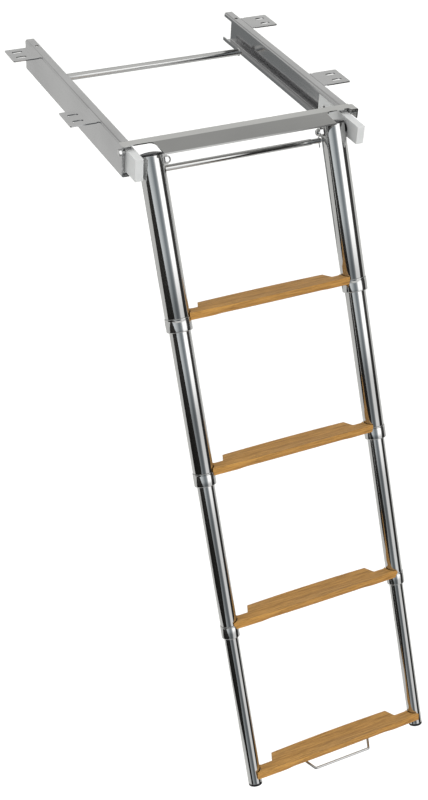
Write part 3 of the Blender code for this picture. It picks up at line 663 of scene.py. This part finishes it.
def slider(side):
    """Nylon block that fills the channel, its nose in front, and two screws in its inner face."""
    node = f"slider_{SIDES[side]}"
    low, high = span(node)
    inner_x, outer_x, _ = reach_across(node)
    nose_bottom = min(v.co.z for v in NODES[node].data.vertices if v.co.y < 0)
    face_x = RAIL_INNER + SHEET + GAP
    mesh = box((face_x, SLIDER_STEP_Y, low.z), (outer_x, high.y, high.z))
    nose = box((inner_x, low.y, nose_bottom), (NOSE_OUTER_X, SLIDER_STEP_Y + NOSE_ROOT, NOSE_TOP_Z))
    mesh = combined(mesh, nose, "UNION")
    mesh = combined(mesh, drill_across(PIVOT_RADIUS + GAP, *PIVOT_BORE_X, PIVOT_AT, BORE_STEPS))
    for y in SLIDER_SCREWS_Y:
        recess = drill_across(RECESS_RADIUS, face_x - OVERRUN, face_x + RECESS_DEPTH, (y, SLIDER_SCREWS_Z))
        mesh = combined(mesh, recess)
    piece(f"{node}_block", mirrored(mesh, side), NYLON, [node], edge=1.1 * MM, segments=4, angle=50)
    for number, y in enumerate(SLIDER_SCREWS_Y, 1):
        place = outwards(-side, side * (face_x + SCREW_SEAT), y, SLIDER_SCREWS_Z)
        slider_screw(f"slider_screw_{number}_{SIDES[side]}", place)


def slider_screw(name, place):
    """Low round head with a hexagon socket."""
    corner = arc((SCREW_RIM - SCREW_ROUND, SCREW_RISE), SCREW_ROUND, 0, 90, 4)
    head = [(0, 0), (SCREW_RIM, 0), (SCREW_RIM, SCREW_RISE), *corner, (0, SCREW_RISE + SCREW_ROUND)]
    bottom, top = SOCKET_SPAN
    socket = cylinder(SOCKET_RADIUS, (0, 0, bottom), (0, 0, top), 6)
    mesh = combined(lathe(head, HOLE_STEPS, closed=False), socket)
    extra(name, mesh, DARK_STEEL, "carriage", place, edge=0.1 * MM)


def pivot_bolt(side):
    """Stud with rounded ends."""
    node = f"pivot_bolt_{SIDES[side]}"
    near, far, _ = reach_across(node)
    mesh = lathe(rod_profile(PIVOT_RADIUS, far - near, 0.5 * MM), BORE_STEPS, closed=False)
    piece(f"{node}_turned", mesh, BOLT_STEEL, [node], outwards(side, side * near, *PIVOT_AT))


def washer(side):
    """Thin plastic ring on the pivot stud."""
    node = f"pivot_washer_{SIDES[side]}"
    near, far, radius = reach_across(node)
    bore, height = PIVOT_RADIUS + GAP, far - near
    profile = rounded([(bore, 0), (radius, 0), (radius, height), (bore, height)], 0.3 * MM, 3)
    mesh = lathe(profile, BOLT_STEPS)
    piece(f"{node}_ring", mesh, BLACK, [node], outwards(side, side * near, *PIVOT_AT))


def dome_nut(side):
    """Hexagon nut with a polished dome, its open end against the upright."""
    node = f"dome_nut_{SIDES[side]}"
    near, far, radius = reach_across(node)
    rise = far - near - NUT_BASE
    quarter = arc((0, 0), 1, 0, 90, 12)
    dome = [(0, NUT_BASE - NUT_OVERLAP), (DOME_RADIUS, NUT_BASE - NUT_OVERLAP)]
    dome += [(DOME_RADIUS * across, NUT_BASE + rise * up) for across, up in quarter]
    mesh = combined(hexagon(radius, NUT_BASE), lathe(dome, BOLT_STEPS, closed=False), "UNION")
    bore = cylinder(PIVOT_RADIUS + GAP, (0, 0, -NUT_OVERLAP), (0, 0, NUT_BASE + NUT_OVERLAP))
    mesh = combined(mesh, bore)
    place = outwards(-side, side * far, *PIVOT_AT)
    piece(f"{node}_polished", mesh, BOLT_STEEL, [node], place, edge=0.12 * MM, segments=2, angle=30)


# --- Telescoping ladder ---

WALLS = (1.5 * MM, 1.5 * MM, 1.2 * MM, 1.2 * MM)
BORE_REACH = 30 * MM
COLLAR_CLEAR, COLLAR_EDGE, COLLAR_ROLL, COLLAR_MOUTH = 0.35 * MM, 0.5 * MM, 1.6 * MM, 0.3 * MM
GROOVE_IN = 0.35 * MM
GROOVE_TOP, GROOVE_FLOOR, GROOVE_FOOT, GROOVE_BOTTOM = 2.0 * MM, 2.5 * MM, 2.9 * MM, 3.4 * MM
PLUG_TAPER = 0.5 * MM
TOP_FLANGE, TOP_ROUND, TOP_RISE = 2.8 * MM, 0.8 * MM, 3 * MM
END_FLANGE, END_ROUND = 4 * MM, 1.5 * MM
DOME_STEPS = 12


def ladder_span(node):
    """Centre x, half width, and the top and bottom s of a round ladder part."""
    low, high = span(node, LADDER)
    return (low.x + high.x) / 2, (high.x - low.x) / 2, -high.z, -low.z


def on_axis(x, s):
    """The frame of a turned part on an upright's axis, with Z up the upright."""
    return LADDER @ Matrix.Translation((x, 0, -s))


def upright(section, side):
    """Polished tube; the first pair is drilled for the pivot studs."""
    node = f"upright_{section}_{SIDES[side]}"
    x, radius, top, bottom = ladder_span(node)
    bore = radius - WALLS[section - 1]
    length = bottom - top
    corners = [(bore, -length), (radius, -length), (radius, 0), (bore, 0)]
    mesh = lathe(rounded(corners, 0.5 * MM, 3), TUBE_STEPS)
    if section == 1:
        bore = drill_across(PIVOT_RADIUS + GAP, -BORE_REACH, BORE_REACH, (0, top), BORE_STEPS)
        mesh = combined(mesh, bore)
    piece(f"{node}_tube", mesh, TUBE_STEEL, [node], on_axis(x, top))


def collar(section, side):
    """Guide ring: a bead at its top, a shallow groove, and a lower edge rolled in to the next tube."""
    node = f"collar_{section}_{SIDES[side]}"
    x, radius, top, bottom = ladder_span(node)
    _, tube_radius, _, _ = ladder_span(f"upright_{section + 1}_{SIDES[side]}")
    inner, waist, length = tube_radius + COLLAR_CLEAR, radius - GROOVE_IN, bottom - top
    profile = [(inner, 0), (radius - COLLAR_EDGE, 0)]
    profile += arc((radius - COLLAR_EDGE, -COLLAR_EDGE), COLLAR_EDGE, 90, 0, 4)
    profile += [(radius, -GROOVE_TOP), (waist, -GROOVE_FLOOR)]
    profile += [(waist, -GROOVE_FOOT), (radius, -GROOVE_BOTTOM)]
    profile += arc((radius - COLLAR_ROLL, -length + COLLAR_ROLL), COLLAR_ROLL, 0, -90, 8)
    profile += [(inner + COLLAR_MOUTH, -length), (inner, -length + COLLAR_MOUTH)]
    piece(f"{node}_ring", lathe(profile, TUBE_STEPS), TUBE_STEEL, [node], on_axis(x, top))


def top_cap(side):
    """Black plug with a low dome in the top of the first tube."""
    node = f"top_cap_{SIDES[side]}"
    x, radius, top, bottom = ladder_span(node)
    bore, crown = radius - WALLS[0] - GAP, radius - TOP_ROUND
    shares = [i / DOME_STEPS for i in range(DOME_STEPS)]
    profile = [(crown * share, TOP_RISE * (1 - share**2)) for share in shares]
    profile += [*arc((crown, -TOP_ROUND), TOP_ROUND, 72, 0, 6), (radius, -TOP_FLANGE)]
    profile += [(bore, -TOP_FLANGE), (bore - PLUG_TAPER, top - bottom), (0, top - bottom)]
    mesh = lathe(profile, CAP_STEPS, closed=False)
    piece(f"{node}_plug", mesh, BLACK, [node], on_axis(x, top), angle=50)


def end_cap(side):
    """Black plug with a rounded foot in the bottom of the last tube."""
    node = f"end_cap_{SIDES[side]}"
    x, radius, top, bottom = ladder_span(node)
    length = bottom - top
    bore, flange = radius - WALLS[3] - GAP, -length + END_FLANGE
    profile = [(0, 0), (bore - PLUG_TAPER, 0), (bore, flange), (radius, flange)]
    profile += [*arc((radius - END_ROUND, -length + END_ROUND), END_ROUND, 0, -90, 6), (0, -length)]
    mesh = lathe(profile, CAP_STEPS, closed=False)
    piece(f"{node}_plug", mesh, BLACK, [node], on_axis(x, top), angle=50)


def glide_bush(section, side):
    """The hidden bush on an inner tube's top keeps its CAD shape, in grey nylon."""
    materials = NODES[f"glide_bush_{section}_{SIDES[side]}"].data.materials
    materials.clear()
    materials.append(GREY_NYLON)


# --- Treads and what holds them ---

TREAD_FRONT, TREAD_BOW = 16.5 * MM, 2 * MM
TREAD_HORN = 1.5 * MM
TREAD_SHOULDER, TREAD_FLARE = -2 * MM, -8 * MM
TREAD_FLARE_WIDTH, FLARE_BITE, FLARE_POWER = 9 * MM, 0.5 * MM, 2.2
TREAD_BACK, TREAD_BACK_BOW, BACK_CORNER = -21 * MM, 2 * MM, 1.5 * MM
TREAD_BACK_HALF, TREAD_SHOULDER_HALF, SHOULDER_CORNER = 113.6 * MM, 119.4 * MM, 3 * MM
FRONT_STEPS, FLARE_STEPS, BACK_STEPS = 16, 8, 12
TREAD_THICK = 12 * MM
TUBE_CLEAR, HOLLOW_S = 1.2 * MM, (-1, 2)
CHAMFER_STOP, CHAMFER_DEPTH, CHAMFER_HEIGHT = 52 * MM, 2 * MM, 2.2 * MM
CHAMFER_STEPS, CHAMFER_RUN_OUT, CHAMFER_SKIN, CHAMFER_PAST = 12, 2, 0.01 * MM, 4 * MM
# Material slots of the tread: the top's copy with painted shade, and the rounded edges' darker copy with
# painted shade.
TOP_SLOPE, TOP_PAINTED_SHADE_INDEX, EDGE_PAINTED_SHADE_INDEX = 0.7, 1, 2
CROSSBAR_DEPTH = 6 * MM
GROOVE_ENDS, GROOVE_OPEN = 20 * MM, 8 * MM
PAN_RISE, PAN_FOOT, SCREW_CORE = 1.6 * MM, 0.9 * MM, 1.6 * MM
PAN_CROWN = ((0.55, 0), (0.85, 0.35 * MM))
SCREW_POINT, SCREW_POINT_RADIUS = 1.5 * MM, 0.3 * MM
CROSS_LOW, CROSS_HIGH = Vector((-2 * MM, -0.35 * MM, -1 * MM)), Vector((2 * MM, 0.35 * MM, 0.8 * MM))


def front_edge(tip_x):
    """Half of the bowed front edge, from the middle to the horn."""
    shares = [i / FRONT_STEPS for i in range(FRONT_STEPS + 1)]
    return [(tip_x * share, -TREAD_FRONT - TREAD_BOW * (1 - share**2)) for share in shares]


def flare_edge(flare_x):
    """The flare behind a tube, falling to the shoulder and round its corner."""
    drop = TREAD_SHOULDER - TREAD_FLARE
    shares = [i / FLARE_STEPS for i in range(FLARE_STEPS + 1)]
    edge = [(flare_x - TREAD_FLARE_WIDTH * share, -TREAD_FLARE - drop * (1 - (1 - share) ** FLARE_POWER))
            for share in shares]
    centre = (TREAD_SHOULDER_HALF + SHOULDER_CORNER, -TREAD_SHOULDER + SHOULDER_CORNER)
    return edge + arc(centre, SHOULDER_CORNER, -90, -150, 5)


def back_edge():
    """Half of the bowed back edge, round its corner and in to the middle."""
    end = TREAD_BACK_HALF - BACK_CORNER
    edge = arc((end, -TREAD_BACK - BACK_CORNER), BACK_CORNER, 10, 90, 7)
    for i in range(BACK_STEPS - 1, -1, -1):
        x = end * i / BACK_STEPS
        edge.append((x, -TREAD_BACK + TREAD_BACK_BOW * (1 - (x / TREAD_BACK_HALF) ** 2)))
    return edge


def tread_outline(tube_x, reach):
    """Tread seen from above as (x, -n): bowed front, horns at the tubes, notches and a bowed back."""
    tip_x = tube_x - math.sqrt(max(0, reach**2 - (TREAD_FRONT - TREAD_HORN) ** 2))
    flare_x = tube_x - math.sqrt(reach**2 - TREAD_FLARE**2) + FLARE_BITE
    half = front_edge(tip_x) + flare_edge(flare_x) + back_edge()
    return half + [(-x, y) for x, y in reversed(half[1:-1])]


def edge_chamfer(tube_x):
    """Cutter for the chamfer along the front face's lower edge, run out before the tread's ends."""
    bm = bmesh.new()
    rows = []
    for i in range(-CHAMFER_STEPS, CHAMFER_STEPS + 1):
        x = (tube_x - CHAMFER_STOP) * i / CHAMFER_STEPS
        front = -TREAD_FRONT - TREAD_BOW * (1 - (x / tube_x) ** 2)
        share = min(1, (CHAMFER_STEPS - abs(i)) / CHAMFER_RUN_OUT)
        inside = front + CHAMFER_DEPTH * share + CHAMFER_SKIN
        top = -TREAD_THICK + CHAMFER_HEIGHT * share + CHAMFER_SKIN
        outside, below = front - CHAMFER_PAST, -TREAD_THICK - CHAMFER_PAST
        corners = ((outside, below), (inside, below), (inside, -TREAD_THICK), (front, top), (outside, top))
        rows.append([bm.verts.new((x, y, z)) for y, z in corners])
    for first, second in zip(rows, rows[1:]):
        for k in range(len(first)):
            following = (k + 1) % len(first)
            bm.faces.new((first[k], first[following], second[following], second[k]))
    bm.faces.new(rows[0])
    bm.faces.new(reversed(rows[-1]))
    return finished(bm)


def tread_top(section):
    """Z, in the ladder's frame, of the tread's top face where it crosses the uprights' plane."""
    _, high = span(f"crossbar_{section}", TILTED)
    return (high.z + TREAD_THICK - CROSSBAR_DEPTH - GAP) / math.cos(TREAD_TILT)


def tread_mesh(section, deck):
    """The tread's board: hollowed for the tubes, chamfered in front and grooved for the crossbar."""
    x, tube_radius, _, _ = ladder_span(f"upright_{section}_right")
    reach = tube_radius + TUBE_CLEAR
    mesh = prism(tread_outline(x, reach), -TREAD_THICK, 0)
    above, below = HOLLOW_S
    for side in SIDES:
        hollow = cylinder(reach, (side * x, 0, -below), (side * x, 0, -above), CAP_STEPS)
        hollow.transform(deck.inverted() @ LADDER)
        mesh = combined(mesh, hollow)
    mesh = combined(mesh, edge_chamfer(x))
    bar_low, bar_high = span(f"crossbar_{section}", deck)
    pad = Vector((GROOVE_ENDS, GAP, GAP))
    return combined(mesh, box(bar_low - pad - Vector((0, 0, GROOVE_OPEN)), bar_high + pad))


def tread(section):
    """Wooden tread, with painted light on the front and sides, painted shade on the top and darker painted
    shade along its rounded edges.
    """
    node = f"tread_{section}"
    deck = LADDER @ Matrix.Translation((0, 0, tread_top(section))) @ Matrix.Rotation(TREAD_TILT, 4, "X")
    mesh = tread_mesh(section, deck)
    obj = piece(f"{node}_wood", mesh, TEAK_FRONT_PAINTED_LIGHT, [node], deck, edge=1.1 * MM, angle=50)
    obj.data.materials.append(TEAK_TOP_PAINTED_SHADE)
    obj.data.materials.append(TEAK_EDGE_PAINTED_SHADE)
    # The rounded edges take the darkest copy of the teak, painted shade.
    obj.modifiers["edge"].material = EDGE_PAINTED_SHADE_INDEX
    # Faces looking up take the copy with painted shade on the top.
    for face in obj.data.polygons:
        if face.normal.z > TOP_SLOPE:
            face.material_index = TOP_PAINTED_SHADE_INDEX


def crossbar(section):
    """Flat bar under the tread."""
    node = f"crossbar_{section}"
    piece(f"{node}_flat", box(*span(node, TILTED)), PLATE_STEEL, [node], TILTED, edge=0.5 * MM)


def tread_screw(section, side):
    """Pan-head wood screw with a cross recess."""
    node = f"tread_screw_{section}_{SIDES[side]}"
    low, high = span(node, TILTED)
    head, length = (high.x - low.x) / 2, high.z - low.z
    profile = [(0, 0), *((head * share, height) for share, height in PAN_CROWN)]
    profile += [(head, PAN_FOOT), (head, PAN_RISE), (SCREW_CORE, PAN_RISE)]
    profile += [(SCREW_CORE, length - SCREW_POINT), (SCREW_POINT_RADIUS, length), (0, length)]
    mesh = lathe(profile, HOLE_STEPS, closed=False)
    for turn in (0, 90):
        slot = box(CROSS_LOW, CROSS_HIGH)
        slot.transform(Matrix.Rotation(math.radians(turn), 4, "Z"))
        mesh = combined(mesh, slot)
    x, y, _ = middle(node, TILTED)
    piece(f"{node}_head", mesh, BOLT_STEEL, [node], TILTED @ Matrix.Translation((x, y, low.z)))


# --- Rod, pin and handle ---

ROD_STEP, ROD_STEP_SLOPE, ROD_THIN, ROD_EDGE = 17 * MM, 1 * MM, 4.2 * MM, 0.5 * MM
PIN_BORE = 1.5 * MM
PIN_WIRE, PIN_EYE, PIN_TURN = 0.6 * MM, 1.6 * MM, 25
PIN_LEG = PIN_WIRE + 0.02 * MM
PIN_NECK, PIN_SPREAD_AT, PIN_SHORT = 0.6 * MM, 15 * MM, 2 * MM
PIN_FIRST_SPREAD, PIN_LAST_SPREAD = 1.8, 2.4
HANDLE_WIRE, HANDLE_GRIP_HALF, HANDLE_BEND = 2.1 * MM, 52 * MM, 3.5 * MM
HANDLE_FOOT_N, HANDLE_STUB = -8 * MM, 6 * MM
STUB_SHARE = 0.6


def cross_rod():
    """Round rod between the uprights, turned down at its right end for the split pin."""
    low, high = span("cross_rod", LADDER)
    radius, length = (high.z - low.z) / 2, high.x - low.x
    profile = [(0, 0), (radius - ROD_EDGE, 0), (radius, ROD_EDGE)]
    profile += [(radius, length - ROD_STEP - ROD_STEP_SLOPE), (ROD_THIN, length - ROD_STEP)]
    profile += [(ROD_THIN, length - ROD_EDGE), (ROD_THIN - ROD_EDGE, length), (0, length)]
    mesh = lathe(profile, BOLT_STEPS, closed=False)
    pin_x = middle("split_pin", LADDER).x - low.x
    mesh = combined(mesh, cylinder(PIN_BORE, (-BORE_REACH, 0, pin_x), (BORE_REACH, 0, pin_x), PIN_STEPS))
    place = LADDER @ outwards(1, low.x, *middle("cross_rod", LADDER).yz)
    piece("cross_rod_turned", mesh, ROD_STEEL, ["cross_rod"], place)


def split_pin():
    """Cotter pin: an eye above the rod and its legs spread a little below it."""
    low, high = span("split_pin", LADDER)
    tip, neck = low.z - high.z, -2 * PIN_EYE - PIN_NECK
    route = [(PIN_LEG * PIN_FIRST_SPREAD, tip + PIN_SHORT), (PIN_LEG, -PIN_SPREAD_AT), (PIN_LEG, neck)]
    route += arc((0, -PIN_EYE), PIN_EYE - PIN_WIRE, -50, 230, 20)
    route += [(-PIN_LEG, neck), (-PIN_LEG, -PIN_SPREAD_AT), (-PIN_LEG * PIN_LAST_SPREAD, tip)]
    mesh = wire([(across, 0, up) for across, up in route], PIN_WIRE)
    x, y, _ = middle("split_pin", LADDER)
    place = LADDER @ Matrix.Translation((x, y, high.z)) @ Matrix.Rotation(math.radians(PIN_TURN), 4, "Z")
    piece("split_pin_wire", mesh, BOLT_STEEL, ["split_pin"], place)


def pull_handle():
    """Bent wire: a grip, two splayed legs and stubs turned up to the tread."""
    low, high = span("pull_handle", LADDER)
    grip_y, grip_z = low.y + HANDLE_WIRE, low.z + HANDLE_WIRE
    foot_x, foot_y, foot_z = high.x - HANDLE_WIRE, -HANDLE_FOOT_N, high.z - HANDLE_STUB
    half = [(foot_x, foot_y, high.z), (foot_x, foot_y, foot_z), (HANDLE_GRIP_HALF, grip_y, grip_z)]
    route = [(-x, y, z) for x, y, z in half] + half[::-1]
    bends = bent_path(route, min(HANDLE_BEND, HANDLE_STUB * STUB_SHARE), 8)
    piece("pull_handle_wire", wire(bends, HANDLE_WIRE), ROD_STEEL, ["pull_handle"], LADDER)


# --- Build ---


def build():
    """Every piece of the ladder."""
    front_plate()
    tie_bar()
    cross_rod()
    split_pin()
    pull_handle()
    for side in SIDES:
        rail(side)
        stop_bolt(side)
        slider(side)
        pivot_bolt(side)
        washer(side)
        dome_nut(side)
        top_cap(side)
        end_cap(side)
    for section in SECTIONS:
        tread(section)
        crossbar(section)
        for side in SIDES:
            upright(section, side)
            tread_screw(section, side)
            if section < SECTIONS[-1]:
                collar(section, side)
            if section > SECTIONS[0]:
                glide_bush(section, side)


# --- Stage, light and camera ---

CAMERA_AT = (-0.9305, -1.71475, 0.93196)
CAMERA_AZIMUTH, CAMERA_ELEVATION, CAMERA_ROLL = map(math.radians, (-28.04, 36.98, 3.51))
SENSOR_WIDTH, FOCAL_LENGTH, FAR_CLIP = 36, 61.32, 60
FLOOR_Z = cad_bounds[0][2] - 1.7
FLOOR_HALF, FLOOR_DEPTH = 40, 0.02
FLOOR_WHITE, FLOOR_CLOUD = (0.95, 0.95, 0.95), (0.94, 0.94, 0.94)
WALL_DISTANCE, WALL_TOP, WALL_BOTTOM = 2.5, -0.7, 3.6
WALL_SPANS = ((WALL_TOP, -90, 100), (WALL_BOTTOM, -90, 100))
WALL_LIGHT = 2.0
WALL_STOPS = (
    (-86, (0.70, 0.70, 0.68)),
    (-83, (0.05, 0.05, 0.048)),
    (-48, (0.06, 0.06, 0.057)),
    (-42, (1.8, 1.8, 1.8)),
    (-8, (1.8, 1.8, 1.8)),
    (-3, (0.80, 0.82, 0.84)),
    (8, (0.30, 0.33, 0.35)),
    (24, (0.24, 0.27, 0.29)),
    (45, (0.62, 0.66, 0.68)),
    (60, (0.80, 0.84, 0.86)),
)
DEPTH_STOPS = ((0.15, 1.0), (0.315, 0.5))
BLACK_DISTANCE, BLACK_LIGHT = WALL_DISTANCE - 0.1, (0.03, 0.03, 0.027)
BLACK_SPANS = ((WALL_TOP, 77, 96), (1.0, 54, 118), (1.7, 45, 128), (2.4, 62, 95), (WALL_BOTTOM, 70, 90))
BACKDROP_AT, BACKDROP_LIGHT = (0.1, 0.85, -0.45), (0.26, 0.27, 0.27)
BACKDROP = ((-0.40, -0.45), (0.46, -0.45), (0.46, 0.4), (-0.40, 0.4))
CARD_STEPS, CARD_THICK = 24, 0.01
SKY = ((0.0, 0.70), (0.5, 0.70), (0.735, 0.78), (0.75, 0.44), (0.80, 0.44), (0.84, 0.80), (1.0, 0.84))
SKY_BLUE = 0.98
KEY_AT, KEY_AIM, KEY_SIZE, KEY_POWER = (0.9, -2.9, 0.6), (0, -0.25, -0.5), (0.8, 2.6), 22
CEILING_STRENGTH, CEILING_ANGLE = 1.4, math.radians(100)


def camera():
    """A standing view from the climber's left, looking down along the ladder."""
    azimuth, elevation, roll = CAMERA_AZIMUTH, CAMERA_ELEVATION, CAMERA_ROLL
    right = Vector((math.cos(azimuth), math.sin(azimuth), 0))
    level = Vector((math.sin(azimuth), -math.cos(azimuth), 0))
    back = level * math.cos(elevation) + Vector((0, 0, math.sin(elevation)))
    up = back.cross(right)
    across = right * math.cos(roll) + up * math.sin(roll)
    tall = up * math.cos(roll) - right * math.sin(roll)
    turn = Matrix((across, tall, back)).transposed().to_4x4()
    data = bpy.data.cameras.new("camera")
    data.sensor_fit = "AUTO"
    data.sensor_width = SENSOR_WIDTH
    data.lens = FOCAL_LENGTH
    data.clip_end = FAR_CLIP
    bpy.context.scene.camera = stood("camera", data, Matrix.Translation(CAMERA_AT) @ turn)


def pale_floor():
    """Matt floor, very slightly clouded, that doesn't show in the steel."""
    nodes = Nodes("pale_floor")
    nodes.set(Roughness=0.9, Specular_IOR_Level=0.0)
    cloud = nodes.noise(nodes.stretched(0.8, 0.8, 0.8), detail=2.0)
    nodes.link(nodes.mix(cloud, FLOOR_WHITE, FLOOR_CLOUD), "Base Color")
    half = FLOOR_HALF
    mesh = prism([(-half, -half), (half, -half), (half, half), (-half, half)], -FLOOR_DEPTH, 0)
    obj = stood("floor", mesh, Matrix.Translation((0, 0, FLOOR_Z)))
    mesh.materials.append(nodes.material)
    obj.visible_glossy = False


def reflected_only(name, mesh, material, place):
    """A staged card that shows in reflections and nowhere else."""
    obj = stood(name, mesh, place)
    mesh.materials.append(material)
    obj.visible_camera = False
    obj.visible_shadow = False
    obj.visible_diffuse = False


def card(name, distance, spans, material):
    """A curved card parallel to the uprights, from spans of (s, first bearing, last bearing).

    Bearings are in degrees from straight out, positive to the left.
    """
    bm = bmesh.new()
    rows = []
    for s, first, last in spans:
        turns = [math.radians(first + (last - first) * i / CARD_STEPS) for i in range(CARD_STEPS + 1)]
        rows.append([bm.verts.new((-distance * math.sin(t), -distance * math.cos(t), -s)) for t in turns])
    for upper, lower in zip(rows, rows[1:]):
        for i in range(CARD_STEPS):
            bm.faces.new((upper[i], upper[i + 1], lower[i + 1], lower[i]))
    reflected_only(name, finished(bm), material, LADDER)


def glowing(name, *stops):
    """A card material whose light depends on the bearing round the uprights; stops run right to left."""
    nodes = Nodes(name)
    nodes.set(Base_Color=(0, 0, 0, 1), Specular_IOR_Level=0.0, Roughness=1.0, Emission_Strength=WALL_LIGHT)
    place = nodes.add("ShaderNodeSeparateXYZ", Vector=nodes.place)
    back_x = nodes.maths("MULTIPLY", place.outputs["X"], -1.0)
    back_y = nodes.maths("MULTIPLY", place.outputs["Y"], -1.0)
    bearing = nodes.maths("ARCTAN2", back_x, back_y)
    share = nodes.maths("ADD", nodes.maths("DIVIDE", bearing, math.tau), 0.5)
    around = [(0.5 + degrees / 360, scaled(colour, 1 / WALL_LIGHT)) for degrees, colour in stops]
    depth = nodes.maths("DIVIDE", nodes.maths("MULTIPLY", place.outputs["Z"], -1.0), WALL_BOTTOM)
    fall = nodes.ramp(depth, *DEPTH_STOPS)
    nodes.link(nodes.mix(1.0, nodes.ramp(share, *around), fall, "MULTIPLY"), "Emission Color")
    return nodes.material


def evenly_glowing(name, colour):
    """A card material with the same light all round."""
    return glowing(name, (0, colour), (180, colour))


def reflections():
    """The dark and bright walls of the studio, as the polished steel shows them."""
    card("studio_wall", WALL_DISTANCE, WALL_SPANS, glowing("studio_wall", *WALL_STOPS))
    card("black_card", BLACK_DISTANCE, BLACK_SPANS, evenly_glowing("black_card", BLACK_LIGHT))
    place = Matrix.Translation(BACKDROP_AT) @ Matrix.Rotation(math.radians(90), 4, "X")
    backdrop = prism(BACKDROP, 0, CARD_THICK)
    reflected_only("dark_backdrop", backdrop, evenly_glowing("dark_backdrop", BACKDROP_LIGHT), place)


def sky():
    """Pale surroundings, with a darker ring that the front plate's level strip reflects."""
    world = bpy.data.worlds.new("studio")
    bpy.context.scene.world = world
    world.use_nodes = True
    tree = world.node_tree
    place = tree.nodes.new("ShaderNodeTexCoord").outputs["Generated"]
    split = tree.nodes.new("ShaderNodeSeparateXYZ")
    half = tree.nodes.new("ShaderNodeMath")
    half.operation = "MULTIPLY_ADD"
    half.inputs[1].default_value = half.inputs[2].default_value = 0.5
    ramp = tree.nodes.new("ShaderNodeValToRGB")
    set_stops(ramp, [(height, (grey, grey, SKY_BLUE * grey)) for height, grey in SKY])
    tree.links.new(place, split.inputs["Vector"])
    tree.links.new(split.outputs["Z"], half.inputs[0])
    tree.links.new(half.outputs["Value"], ramp.inputs["Fac"])
    tree.links.new(ramp.outputs["Color"], tree.nodes["Background"].inputs["Color"])


def key_light():
    """Large soft box in front of the ladder."""
    data = bpy.data.lights.new("key", "AREA")
    data.shape = "RECTANGLE"
    data.size, data.size_y = KEY_SIZE
    data.energy = KEY_POWER
    turn = (Vector(KEY_AT) - Vector(KEY_AIM)).to_track_quat("Z", "Y").to_matrix().to_4x4()
    stood("key", data, Matrix.Translation(KEY_AT) @ turn).visible_glossy = False


def ceiling():
    """Very soft light from above, which keeps the floor white."""
    data = bpy.data.lights.new("ceiling", "SUN")
    data.energy = CEILING_STRENGTH
    data.angle = CEILING_ANGLE
    stood("ceiling", data).visible_glossy = False


def studio():
    """Floor, reflecting cards, surroundings and lights."""
    pale_floor()
    reflections()
    sky()
    key_light()
    ceiling()
    view = bpy.context.scene.view_settings
    view.view_transform = "Standard"
    view.look = "None"


build()
studio()
camera()
